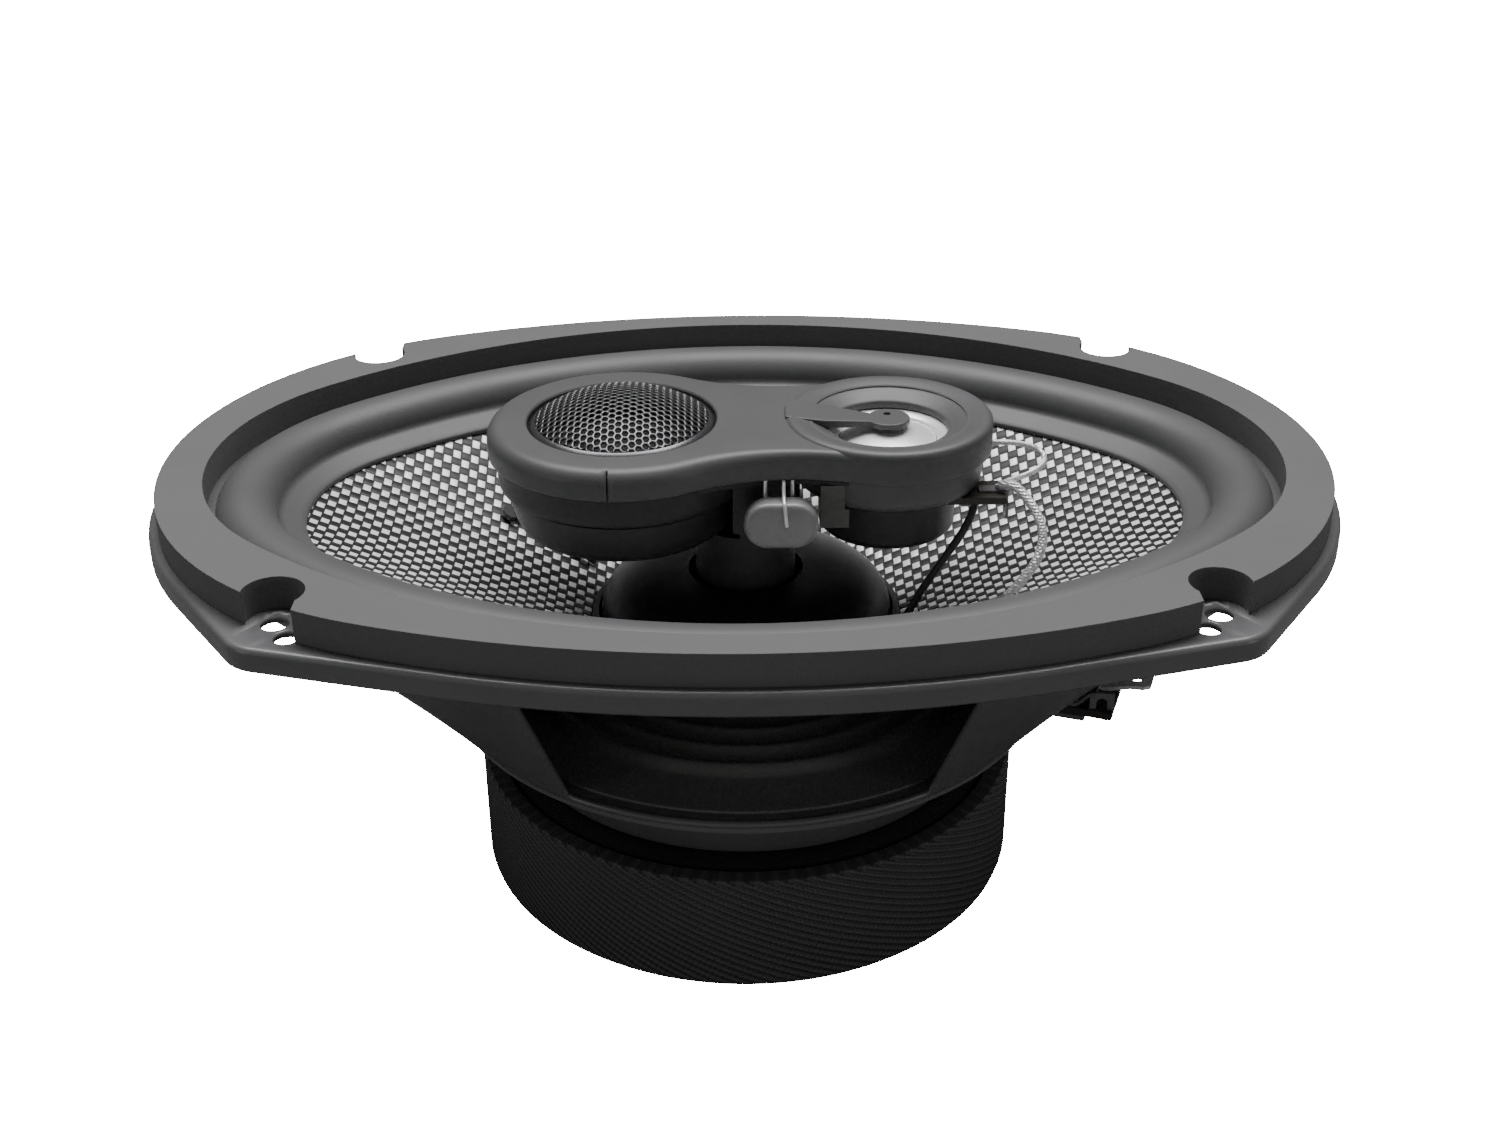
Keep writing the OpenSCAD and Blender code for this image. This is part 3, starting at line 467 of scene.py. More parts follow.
def in_slot(p):
    """Tells whether a point of the wall lies in the terminals' slot."""
    q = Matrix.Rotation(-terminal_turn, 3, "Z") @ p
    return q.x > 30 and abs(q.y) < slot_half and terminal_z < q.z < terminal_z + slot_h


slot_facing = Matrix.Rotation(terminal_turn, 3, "Z") @ Vector((0, 1, 0))
for offset in (-slot_half, slot_half):
    slice_at(bm, slot_facing * offset, slot_facing)
for level in (terminal_z, terminal_z + slot_h):
    slice_at(bm, (0, 0, level), (0, 0, 1))
gone = [f for f in bm.faces if in_window(f.calc_center_median()) or in_slot(f.calc_center_median())]
bmesh.ops.delete(bm, geom=gone, context="FACES")
bmesh.ops.remove_doubles(bm, verts=bm.verts, dist=0.02)
face_up(bm)
frame_walls = finish_piece(bm, "frame_walls", sharp=45)
thicken(frame_walls, 1.0)
frame_walls.modifiers["wall"].use_even_offset = False
paint(frame_walls, frame_paint)

# foot of the frame: hem, spider landing, neck and base plate
base_top, base_under = -50.9, -52.08
bm = bmesh.new()
turned(bm, [(ring_r, landing_z + 0.2), (ring_r, landing_z - 2.4), (ring_r - 1.4, landing_z - 2.4),
            (ring_r - 1.4, landing_z - 1.2), (51.9, landing_z - 1.2), (51.2, landing_z - 1.5),
            (50.9, landing_z - 2.2),
            (48.2, -51.4), (47.4, base_under), (24, base_under), (24, base_top), (46.6, base_top),
            (49.6, landing_z - 1.6),
            (50.0, landing_z - 0.5), (50.6, landing_z), (ring_r - 1.5, landing_z),
            (ring_r - 1.5, landing_z + 0.2)])
frame_foot = finish_piece(bm, "frame_foot", sharp=40)
soften(frame_foot, 0.25, 2, 45)
paint(frame_foot, frame_paint)

bm = bmesh.new()
bmesh.ops.create_cube(bm, size=1)
bmesh.ops.scale(bm, vec=(12, 2 * slot_half, steel_t), verts=bm.verts)
bmesh.ops.translate(bm, vec=(ring_r + 4.8, 0, terminal_z - steel_t / 2), verts=bm.verts)
bmesh.ops.rotate(bm, matrix=Matrix.Rotation(terminal_turn, 3, "Z"), verts=bm.verts)
terminal_tab = finish_piece(bm, "terminal_tab")
soften(terminal_tab, 0.4)
paint(terminal_tab, frame_paint)
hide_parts("basket")
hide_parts("basket")
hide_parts("basket")
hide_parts("basket")

# ---------------------------------------------------------------- gasket
# A thick die-cut ring of closed-cell foam, recessed round each screw hole,
# with its edges pressed slightly round.
notch_at = Vector((hole_at.x - 0.35, hole_at.y))
notch_r = 5.6
notch_left = hole_at.x - 4.85
gasket_foot = hole_at.y + 0.25


def gasket_outline(z):
    """The outer edge in one quarter, mirrored round, with the recess cut in."""
    a, b = gasket_hi.x, gasket_hi.y
    quarter = []
    cut = "before"
    for i in range(91):
        t = math.radians(i)
        p = Vector((math.cos(t), math.sin(t))) * oval_reach(t, a, b, b - end_inset)
        if p.y > gasket_foot and p.x > notch_left:
            if cut == "before":
                k = quarter[-1]
                quarter.append(k.lerp(p, (gasket_foot - k.y) / (p.y - k.y)))
                start = math.asin((gasket_foot - notch_at.y) / notch_r)
                stop = -2 * math.pi + math.acos((notch_left - notch_at.x) / notch_r)
                for j in range(25):
                    w = start + (stop - start) * j / 24
                    quarter.append(notch_at + notch_r * Vector((math.cos(w), math.sin(w))))
                cut = "within"
            last = p
            continue
        if cut == "within":
            quarter.append(last.lerp(p, (notch_left - last.x) / (p.x - last.x)))
            cut = "after"
        quarter.append(p)
    half = quarter + [Vector((-p.x, p.y)) for p in reversed(quarter[:-1])]
    whole = half + [Vector((p.x, -p.y)) for p in reversed(half[1:-1])]
    return [Vector((p.x, p.y, z)) for p in whole]


bm = bmesh.new()
outer_edges = loop_of(bm, gasket_outline(gasket_hi.z))[1]
inner_edges = loop_of(bm, opening_ring(0, gasket_hi.z))[1]
bmesh.ops.triangle_fill(bm, use_beauty=True, edges=outer_edges + inner_edges, normal=(0, 0, 1))
drawn = bmesh.ops.extrude_face_region(bm, geom=bm.faces[:])
bmesh.ops.translate(bm, vec=(0, 0, gasket_lo.z - gasket_hi.z), verts=new_points(drawn))
bmesh.ops.recalc_face_normals(bm, faces=bm.faces)
gasket_ring = finish_piece(bm, "gasket_ring", sharp=40)
soften(gasket_ring, 0.55, 3, 50)
foam_finish = grained("gasket_foam", (0.120, 0.120, 0.123), (0.145, 0.145, 0.148), (0.55, 0.75), 0.35, 0.035,
                      specular=0.35)
paint(gasket_ring, foam_finish)
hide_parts("gasket")

# ---------------------------------------------------------------- surround
# A half roll of butyl rubber, glued to the frame's seat outside and to the
# cone's edge inside, so it bends between the two as the cone moves.
roll_start, roll_w = -1.2, 12.2
roll_end = roll_start - roll_w
strip_w, strip_slope, strip_top = 5.2, 0.51, 2.3
crown = ((roll_start + roll_end) / 2, lip_h - 3)
crown_r = roll_w / 2 + 0.3
rim_t = 0.8
skin = arc_points(crown, crown_r, 28, 168, 18)
under = arc_points(crown, crown_r - rim_t, 160, 28, 12)
tail = (roll_end - strip_w, strip_top - strip_w * strip_slope)
section = [(2.1, lip_h), (roll_start + 0.3, lip_h)] + skin + [(roll_end - 0.35, strip_top - 0.1)]
section += [(roll_end + (tail[0] - roll_end) * k / 4, strip_top - strip_w * strip_slope * k / 4)
            for k in range(1, 4)]
section += [(tail[0] + 0.25, tail[1] + 0.16), (tail[0], tail[1] - 0.2), (tail[0], tail[1] - rim_t)]
section += [(roll_end, strip_top - rim_t)] + under + [(roll_start - 0.6, lip_h - rim_t),
                                                      (2.1, lip_h - rim_t)]
bm = bmesh.new()
ring_body(bm, [opening_ring(x, z) for x, z in section])
surround_roll = finish_piece(bm, "surround_roll", body=None, sharp=50)
rubber_finish = grained("butyl_rubber", (0.085, 0.085, 0.088), (0.105, 0.105, 0.108), (0.42, 0.55), 0.4,
                        0.012, specular=0.5)
paint(surround_roll, rubber_finish)
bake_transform(surround_roll, "frame", "woofer_assembly", start=(0, 0, 1), end=(0, 0, -1))


def give(piece, held, driven, spread):
    """How far each point follows the cone: none at the held edge, all of it at the driven one."""
    points = np.array([v.co for v in piece.data.vertices]) / MM
    share = np.clip((np.array([spread(Vector(p)) for p in points]) - held) / (driven - held), 0, 1)
    blend = piece.data.attributes["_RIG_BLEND"]
    blend.data.foreach_set("value", (share * share * (3 - 2 * share)).astype(np.float32))


def from_opening(p):
    """Distance outwards from the opening's edge, measured square to it."""
    x, y = abs(p.x), abs(p.y)
    s = side_radius(in_a, in_b, in_r)
    c, d = in_a - in_r, s - in_b
    if math.atan2(y, x - c) <= math.atan2(d, c):
        return math.hypot(x - c, y) - in_r
    return math.hypot(x, y + d) - s


give(surround_roll, roll_start, roll_end, from_opening)
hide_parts("surround")

# ---------------------------------------------------------------- woofer cone
# Plain weave of black and silver yarn pressed to shape and set in clear
# resin, with a moulded neck glued to the coil former.
cone_edge = tail[0] - 0.4
cone_edge_z = strip_top - rim_t - 0.3 + (cone_edge - roll_end) * strip_slope
former_r = 19.35
seat_r, seat_top = former_r + 12.7, landing_z + 11.2
neck_top = seat_top - 6
edge_w = strip_w - 0.2
upper = [opening_ring(cone_edge + edge_w, cone_edge_z + edge_w * strip_slope),
         opening_ring(cone_edge, cone_edge_z)]
lower = [opening_ring(cone_edge + edge_w, cone_edge_z + edge_w * strip_slope - 0.9),
         opening_ring(cone_edge, cone_edge_z - 0.9)]
seat_hi, seat_lo = round_ring(seat_r, seat_top), round_ring(seat_r, seat_top - 1)
upper += [[p.lerp(q, k / 12) for p, q in zip(upper[1], seat_hi)] for k in range(1, 13)]
lower += [[p.lerp(q, k / 12) for p, q in zip(lower[1], seat_lo)] for k in range(1, 13)]
upper += [round_ring(former_r + 0.02, neck_top)]
lower += [round_ring(former_r + 0.9, neck_top - 1.2), round_ring(former_r + 0.9, neck_top - 3),
          round_ring(former_r + 0.02, neck_top - 3)]
bm = bmesh.new()
ring_body(bm, upper + lower[::-1])
woven_cone = finish_piece(bm, "woven_cone", "woofer_assembly", sharp=45)


def worker(tree):
    """Returns a maths function that adds a node to the tree and hands back its value."""
    def maths(kind, a, b=None, c=None):
        node = tree.nodes.new("ShaderNodeMath")
        node.operation = kind
        for socket, value in zip(node.inputs, (a, b, c)):
            if isinstance(value, (int, float)):
                socket.default_value = value
            elif value is not None:
                tree.links.new(value, socket)
        return node.outputs[0]
    return maths


def weave_finish():
    """Square plain weave: silver yarn on top in every other cell, black yarn in the rest."""
    finish = bpy.data.materials.new("woven_yarn")
    finish.use_nodes = True
    n, link = finish.node_tree.nodes, finish.node_tree.links.new
    bsdf = n["Principled BSDF"]
    cell = 1.87 * MM
    maths = worker(finish.node_tree)
    place = n.new("ShaderNodeTexCoord")
    split = n.new("ShaderNodeSeparateXYZ")
    link(place.outputs["Object"], split.inputs[0])
    u = maths("DIVIDE", split.outputs["X"], cell)
    v = maths("DIVIDE", split.outputs["Y"], cell)
    across = maths("ABSOLUTE", maths("SUBTRACT", maths("FRACT", u), 0.5))
    along = maths("ABSOLUTE", maths("SUBTRACT", maths("FRACT", v), 0.5))
    odd = maths("FLOORED_MODULO", maths("ADD", maths("FLOOR", u), maths("FLOOR", v)), 2.0)
    silver = odd
    for reach, dark_at, bright_at in ((across, 0.43, 0.36), (along, 0.50, 0.41)):
        fade = n.new("ShaderNodeMapRange")
        fade.interpolation_type = "SMOOTHSTEP"
        link(reach, fade.inputs["Value"])
        fade.inputs["From Min"].default_value, fade.inputs["From Max"].default_value = dark_at, bright_at
        silver = maths("MULTIPLY", fade.outputs[0], silver)
    strands = n.new("ShaderNodeTexWave")
    strands.inputs["Scale"].default_value = 1300
    strands.inputs["Distortion"].default_value = 1.5
    strands.inputs["Detail"].default_value = 2
    link(place.outputs["Object"], strands.inputs["Vector"])
    drift = n.new("ShaderNodeTexNoise")
    drift.inputs["Scale"].default_value = 900
    link(place.outputs["Object"], drift.inputs["Vector"])
    tone = n.new("ShaderNodeMix")
    tone.data_type = "RGBA"
    tone.inputs["A"].default_value = (0.020, 0.020, 0.021, 1)
    tone.inputs["B"].default_value = (1.0, 1.0, 1.0, 1)
    link(silver, tone.inputs["Factor"])
    streak = n.new("ShaderNodeMix")
    streak.data_type = "RGBA"
    streak.blend_type = "MULTIPLY"
    link(maths("MULTIPLY", strands.outputs["Fac"], 0.35), streak.inputs["Factor"])
    link(tone.outputs["Result"], streak.inputs["A"])
    link(drift.outputs["Fac"], streak.inputs["B"])
    link(streak.outputs["Result"], bsdf.inputs["Base Color"])
    link(maths("MULTIPLY_ADD", silver, -0.1, 0.42), bsdf.inputs["Roughness"])
    link(maths("MULTIPLY", silver, 0.12), bsdf.inputs["Metallic"])
    crown_u = maths("COSINE", maths("MULTIPLY", across, math.pi))
    crown_v = maths("COSINE", maths("MULTIPLY", along, math.pi))
    yarn_height = n.new("ShaderNodeMix")
    link(odd, yarn_height.inputs["Factor"])
    link(maths("MULTIPLY_ADD", crown_v, 0.7, maths("MULTIPLY", crown_u, 0.3)), yarn_height.inputs["A"])
    link(maths("MULTIPLY_ADD", crown_u, 0.7, maths("MULTIPLY", crown_v, 0.3)), yarn_height.inputs["B"])
    link(relief(finish.node_tree, yarn_height.outputs["Result"], 0.16), bsdf.inputs["Normal"])
    bsdf.inputs["Specular IOR Level"].default_value = 0.3
    return finish


paint(woven_cone, weave_finish())
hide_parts("woofer_cone")

# ---------------------------------------------------------------- dust cap
# Glossy black cap, domed round the centre post and glued down by its brim.
post_hole_r = 11.8
dome_r, dome_h = seat_r - 2, 10.5


def dome_outline(grow, count=24):
    """The cap's outline from its brim to the post hole, grown outwards."""
    shape = []
    for i in range(count + 1):
        t = math.radians(90 * i / count)
        shape.append((post_hole_r + (dome_r - post_hole_r + grow) * math.cos(t) ** 0.75,
                      seat_top - 0.9 + (dome_h + grow) * math.sin(t) ** 0.75))
    return shape


seat_slope = (seat_top - neck_top) / (seat_r - former_r)
brim = dome_r + 1.8
brim_z = neck_top + (brim - former_r) * seat_slope
bm = bmesh.new()
turned(bm, dome_outline(0) + dome_outline(-0.8)[::-1] + [(dome_r - 0.9, brim_z - 0.9),
                                                         (brim - 0.2, brim_z + 0.02),
                                                         (brim, brim_z + 0.35), (brim - 0.4, brim_z + 0.62),
                                                         (dome_r + 0.5, brim_z + 0.5)])
domed_cap = finish_piece(bm, "domed_cap", "woofer_assembly", sharp=50)
cap_gloss = grained("cap_gloss", (0.012, 0.012, 0.013), (0.020, 0.020, 0.021), (0.30, 0.42), 0.8, 0.008,
                    specular=0.25)
paint(domed_cap, cap_gloss)
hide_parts("dust_cap")

# ---------------------------------------------------------------- spider
# Corrugated cotton cloth stiffened with phenolic, glued to the frame's
# landing outside and to the coil former inside.
spider_inner, spider_flat, spider_outer = former_r + 0.3, 48.7, 59.2
wave_pitch, wave_h, cloth_t = 6.2, 1.5, 0.6
waves = int((spider_flat - spider_inner - 1) // wave_pitch)
wave_start = spider_flat - waves * wave_pitch
crest = [(wave_start + wave_pitch * i / 16,
          landing_z + cloth_t / 2 + wave_h * (1 - math.cos(2 * math.pi * i / 16)) / 2)
          for i in range(waves * 16 + 1)]
cloth = [(spider_inner, landing_z + cloth_t / 2)] + crest + [(spider_outer, landing_z + cloth_t / 2)]
bm = bmesh.new()
turned(bm, [(r, z + cloth_t / 2) for r, z in cloth] + [(r, z - cloth_t / 2) for r, z in reversed(cloth)],
       steps=180)
corrugated_cloth = finish_piece(bm, "corrugated_cloth", body=None, sharp=60)


def cloth_finish():
    """Stiffened cloth, with its threads as a fine square relief."""
    finish = grained("phenolic_cloth", (0.16, 0.155, 0.15), (0.22, 0.215, 0.21), (0.6, 0.8), 0.3, 0.03)
    n, link = finish.node_tree.nodes, finish.node_tree.links.new
    threads = n.new("ShaderNodeTexChecker")
    threads.inputs["Scale"].default_value = 1 / (0.55 * MM)
    place = n.new("ShaderNodeTexCoord")
    link(place.outputs["Object"], threads.inputs["Vector"])
    grain = n["Principled BSDF"].inputs["Normal"].links[0].from_socket
    link(relief(finish.node_tree, threads.outputs["Fac"], 0.06, grain),
         n["Principled BSDF"].inputs["Normal"])
    return finish


paint(corrugated_cloth, cloth_finish())
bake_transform(corrugated_cloth, "frame", "woofer_assembly", start=(0, 0, 1), end=(0, 0, -1))
give(corrugated_cloth, spider_flat + 1, spider_inner + 1, lambda p: math.hypot(p.x, p.y))
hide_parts("spider")

# ---------------------------------------------------------------- voice coil
# Polyimide tube wound with two layers of enamelled copper, with sleeved lead
# wires glued along the cone's face by two dark patches.


def coat(finish, *nodes):
    """Gives modelled parts that keep their own shape a finish."""
    for node in nodes:
        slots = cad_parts[node].material_slots
        for s in slots:
            s.material = finish
        if not slots:
            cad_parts[node].data.materials.append(finish)


def banded(finish, pitch, depth, axis="Z"):
    """Adds fine parallel ridges, such as wound wire or turning marks, to a finish."""
    n, link = finish.node_tree.nodes, finish.node_tree.links.new
    place = n.new("ShaderNodeTexCoord")
    ridges = n.new("ShaderNodeTexWave")
    ridges.bands_direction = axis
    ridges.inputs["Scale"].default_value = math.pi / (10 * pitch * MM)
    ridges.inputs["Distortion"].default_value = 0.6
    link(place.outputs["Object"], ridges.inputs["Vector"])
    grain = n["Principled BSDF"].inputs["Normal"].links[0].from_socket
    link(relief(finish.node_tree, ridges.outputs["Fac"], depth, grain),
         n["Principled BSDF"].inputs["Normal"])
    return finish


coat(grained("polyimide_film", (0.30, 0.14, 0.03), (0.40, 0.20, 0.05), (0.22, 0.35), 0.8, 0.004, coat=0.3),
     "coil_former")
copper_wire = banded(grained("enamelled_copper", (0.45, 0.15, 0.06), (0.60, 0.24, 0.10), (0.25, 0.4), 0.2,
                             0.004, metallic=1.0),
                     0.3, 0.08)
coat(copper_wire, "woofer_voice_coil", "mid_voice_coil", "tweeter_voice_coil")
sleeve_finish = banded(grained("black_sleeving", (0.014, 0.014, 0.015), (0.030, 0.030, 0.031), (0.35, 0.55),
                               0.2, 0.02),
                       0.6, 0.05, "X")
coat(sleeve_finish, "coil_leads")
glue_finish = grained("rubbery_glue", (0.022, 0.022, 0.023), (0.045, 0.045, 0.047), (0.25, 0.4), 0.7, 0.12,
                      coat=0.4)
coat(glue_finish, "lead_patches")

# ---------------------------------------------------------------- magnet
# Plated steel top plate and pole yoke with a sintered ferrite ring between,
# all held in a moulded rubber boot with a fine slanting texture.
plated = grained("zinc_plated_steel", (0.42, 0.42, 0.43), (0.56, 0.56, 0.57), (0.24, 0.40), 0.5, 0.006,
                 metallic=1.0)
ferrite_finish = grained("sintered_ferrite", (0.030, 0.030, 0.032), (0.060, 0.060, 0.063), (0.45, 0.70),
                         0.25, 0.02, metallic=0.3)
black_plated = grained("black_plated_steel", (0.012, 0.012, 0.013), (0.024, 0.024, 0.026), (0.18, 0.30), 0.6,
                       0.003, coat=0.2)
coat(black_plated, "top_plate")
coat(plated, "pole_yoke", "mid_pot", "tweeter_pot", "mid_pole_piece", "tweeter_pole_piece")
coat(ferrite_finish, "ring_magnet", "mid_magnet", "tweeter_magnet")
boot_lo, boot_hi = (Vector(c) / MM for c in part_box("magnet_boot"))
boot_r = boot_hi.x
boot_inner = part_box("top_plate")[1].x / MM + 0.3
yoke_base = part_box("pole_yoke")[0].z / MM
bm = bmesh.new()
turned(bm, [(0, boot_lo.z), (boot_r - 2.4, boot_lo.z), (boot_r - 1.2, boot_lo.z + 0.35),
            (boot_r - 0.35, boot_lo.z + 1.2),
            (boot_r, boot_lo.z + 2.4), (boot_r, boot_hi.z - 1.1), (boot_r - 0.25, boot_hi.z - 0.45),
            (boot_r - 0.7, boot_hi.z - 0.08), (boot_r - 1.2, boot_hi.z), (boot_inner + 0.4, boot_hi.z),
            (boot_inner, boot_hi.z - 0.3), (boot_inner, yoke_base), (0, yoke_base)], closed=False)
rubber_boot = finish_piece(bm, "rubber_boot", sharp=30)
boot_finish = grained("boot_rubber", (0.060, 0.060, 0.063), (0.085, 0.085, 0.089), (0.50, 0.68), 0.35, 0.03,
                      specular=0.45)


def slanted_lines(finish):
    """Two sets of fine slanting lines wrapped round the boot, as a cloth-grained mould leaves, with a
    painted highlight lightening the crests of the first set.
    """
    n, link = finish.node_tree.nodes, finish.node_tree.links.new
    maths = worker(finish.node_tree)
    place = n.new("ShaderNodeTexCoord")
    split = n.new("ShaderNodeSeparateXYZ")
    link(place.outputs["Object"], split.inputs[0])
    round_way = maths("MULTIPLY", maths("ARCTAN2", split.outputs["Y"], split.outputs["X"]), boot_r * MM)
    below = n["Principled BSDF"].inputs["Normal"].links[0].from_socket
    masks = []
    for lean, gap, depth in ((24, 1.45, 0.16), (-62, 1.1, 0.07)):
        across = maths("MULTIPLY_ADD", round_way, math.sin(math.radians(lean)),
                       maths("MULTIPLY", split.outputs["Z"], math.cos(math.radians(lean))))
        groove = maths("SINE", maths("MULTIPLY", across, 2 * math.pi / (gap * MM)))
        masks.append(groove)
        below = relief(finish.node_tree, groove, depth, below)
    link(below, n["Principled BSDF"].inputs["Normal"])
    # The raised crests of the first set of lines are lightened towards pale grey: a painted highlight where
    # light catches them.
    crest_highlight = n.new("ShaderNodeMix")
    crest_highlight.data_type = "RGBA"
    crest_highlight.inputs["B"].default_value = (0.16, 0.16, 0.166, 1)
    link(maths("MULTIPLY", maths("MAXIMUM", masks[0], 0.0), 0.45), crest_highlight.inputs["Factor"])
    base = n["Principled BSDF"].inputs["Base Color"]
    link(base.links[0].from_socket, crest_highlight.inputs["A"])
    link(crest_highlight.outputs["Result"], base)


slanted_lines(boot_finish)
paint(rubber_boot, boot_finish)
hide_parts("magnet_boot")
rivet_finish = grained("rivet_steel", (0.20, 0.20, 0.21), (0.32, 0.32, 0.33), (0.3, 0.5), 0.4, 0.01,
                       metallic=1.0)
coat(rivet_finish, "plate_rivets", "post_bolt", "bridge_screw", "terminal_rivets")

# ---------------------------------------------------------------- centre post and pod base
# Dull black moulded parts that carry the two small drivers over the cone.
dull_plastic = grained("dull_black_plastic", (0.018, 0.018, 0.019), (0.030, 0.030, 0.031), (0.42, 0.58), 0.3,
                       0.02)
coat(dull_plastic, "centre_post", "bridge_base")

# ---------------------------------------------------------------- bridge cover
# Satin moulded cover shaped like a figure eight, with a round mouth over the
# midrange, a raised and dished ring round the tweeter and a slit in its skirt.
cover_lo, cover_hi = (Vector(c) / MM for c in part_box("bridge_cover"))
cover_top, cover_foot = cover_hi.z, cover_lo.z
mid_lobe, tweeter_lobe = cover_hi.y, 20.7
mid_at, tweeter_at = cover_lo.x + mid_lobe, cover_hi.x - tweeter_lobe
waist_r = 38.7
mouth_r, dish_edge_r = 18.8, 15.5
span = tweeter_at - mid_at
reach_mid, reach_tweeter = mid_lobe + waist_r, tweeter_lobe + waist_r
waist_x = mid_at + (reach_mid ** 2 - reach_tweeter ** 2 + span ** 2) / (2 * span)
waist_y = math.sqrt(reach_mid ** 2 - (waist_x - mid_at) ** 2)
mid_turn = math.atan2(waist_y, waist_x - mid_at)
tweeter_turn = math.atan2(waist_y, waist_x - tweeter_at)


def cover_ring(lean):
    """The cover's edge part way round its rounded shoulder: lean 0 is upright, 90 level."""
    runs = [((tweeter_at, 0), tweeter_lobe, -tweeter_turn, tweeter_turn, 56, -1),
            ((waist_x, waist_y), waist_r, tweeter_turn - math.pi, mid_turn - math.pi, 20, 1),
            ((mid_at, 0), mid_lobe, mid_turn, 2 * math.pi - mid_turn, 64, -1),
            ((waist_x, -waist_y), waist_r, math.pi - mid_turn, math.pi - tweeter_turn, 20, 1)]
    ring = []
    for (cx, cy), radius, start, stop, count, grows in runs:
        for i in range(count):
            t = start + (stop - start) * i / count
            share = min(1, max(0, (18 - (cx + radius * math.cos(t))) / 30))
            shoulder = 1.5 + 1.3 * share * share * (3 - 2 * share)
            k = radius + grows * shoulder * (1 - math.cos(math.radians(lean)))
            ring.append(Vector((cx + k * math.cos(t), cy + k * math.sin(t),
                                cover_top - shoulder * (1 - math.sin(math.radians(lean))))))
    return ring


def level(ring, z):
    """The same ring at another height."""
    return [Vector((p.x, p.y, z)) for p in ring]


bm = bmesh.new()
crown_verts, crown_edges = loop_of(bm, cover_ring(90))
mouth_verts, mouth_edges = loop_of(bm, round_ring(mouth_r + 0.25, cover_top, 96, (mid_at, 0)))
dish_verts, dish_edges = loop_of(bm, round_ring(dish_edge_r, cover_top, 96, (tweeter_at, 0)))
bmesh.ops.triangle_fill(bm, use_beauty=True, edges=crown_edges + mouth_edges + dish_edges, normal=(0, 0, 1))
walk(bm, crown_verts, crown_edges, [cover_ring(a) for a in (72, 54, 36, 18, 0)] +
     [level(cover_ring(0), cover_foot + 0.3), level(cover_ring(8), cover_foot)])
walk(bm, mouth_verts, mouth_edges, [round_ring(mouth_r, cover_top - 0.3, 96, (mid_at, 0)),
                                    round_ring(mouth_r, cover_top - 1.9, 96, (mid_at, 0))])
walk(bm, dish_verts, dish_edges, [round_ring(dish_edge_r, cover_top - 1.2, 96, (tweeter_at, 0))])
slit_x, slit_half = mid_at - 1.6, 0.16
for edge_x in (slit_x - slit_half, slit_x + slit_half):
    slice_at(bm, (edge_x, 0, 0), (1, 0, 0))
slit = []
for face in bm.faces:
    middle = face.calc_center_median()
    if abs(middle.x - slit_x) < slit_half and middle.y < -20 and middle.z < cover_top - 0.3:
        slit.append(face)
bmesh.ops.delete(bm, geom=slit, context="FACES")
face_up(bm)
pod_cover = finish_piece(bm, "pod_cover", sharp=32)
thicken(pod_cover, 1.3)
satin_plastic = grained("satin_grey_plastic", (0.085, 0.085, 0.088), (0.105, 0.105, 0.108), (0.38, 0.50),
                        0.22, 0.012, specular=0.5)
paint(pod_cover, satin_plastic)
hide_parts("bridge_cover")

crown_z, ring_foot, dish_r = cover_top + 0.66, cover_top - 3.35, 11.9
bm = bmesh.new()
turned(bm, [(tweeter_lobe + 0.02, cover_top - 2.4), (tweeter_lobe + 0.02, cover_top - 0.7),
            (tweeter_lobe - 0.08, cover_top - 0.2),
            (tweeter_lobe - 0.4, cover_top + 0.22), (tweeter_lobe - 0.9, cover_top + 0.5),
            (tweeter_lobe - 1.6, crown_z - 0.02),
            (18.2, cover_top + 0.5), (17.4, cover_top + 0.32), (16.6, cover_top + 0.1),
            (15.8, cover_top - 0.15),
            (15.0, cover_top - 0.45), (14.2, cover_top - 0.8), (13.4, cover_top - 1.2),
            (12.6, cover_top - 1.65),
            (dish_r + 0.15, cover_top - 1.9), (dish_r, cover_top - 2.1),
            (dish_r, ring_foot), (19.2, ring_foot), (19.2, cover_top - 2.4)], (tweeter_at, 0), 144)
tweeter_ring = finish_piece(bm, "tweeter_ring", sharp=42)
paint(tweeter_ring, satin_plastic)
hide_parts("bridge_cover")

# ---------------------------------------------------------------- midrange grille
# A disc of steel punched with round holes in a close hexagonal pattern,
# domed, painted and crimped into a plain rim.
grille_lo, grille_hi = (Vector(c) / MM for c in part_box("mid_grille"))
grille_r, grille_top = 18.5, grille_hi.z
grille_h = 6.3
grille_ball = (grille_r ** 2 + grille_h ** 2) / (2 * grille_h)
hole_pitch, punch_r = 1.55, 0.58
cell_r = hole_pitch / math.sqrt(3)
bm = bmesh.new()
bmesh.ops.create_circle(bm, segments=12, radius=punch_r, cap_ends=False)
border = bmesh.ops.create_circle(bm, segments=12, radius=cell_r, cap_ends=False)["verts"]
for v in border:
    v.co = v.co * (1 if round(math.degrees(math.atan2(v.co.y, v.co.x))) % 60 == 0 else math.cos(math.pi / 6))
bmesh.ops.bridge_loops(bm, edges=bm.edges[:])
cell = bm.verts[:] + bm.edges[:] + bm.faces[:]
columns = int(grille_r / (cell_r * 1.5)) + 1
rows = int(grille_r / hole_pitch) + 1
for i in range(-columns, columns + 1):
    for j in range(-rows, rows + 1):
        at = Vector((i * cell_r * 1.5, (j + 0.5 * (i % 2)) * hole_pitch, 0))
        if (i or j) and at.length < grille_r - 1.0:
            bmesh.ops.translate(bm, vec=at, verts=new_points(bmesh.ops.duplicate(bm, geom=cell)))
bmesh.ops.remove_doubles(bm, verts=bm.verts, dist=0.02)
for v in bm.verts:
    v.co.z = grille_top - grille_ball + math.sqrt(grille_ball ** 2 - v.co.xy.length_squared)
face_up(bm)
bmesh.ops.translate(bm, vec=(mid_at, 0, 0), verts=bm.verts)
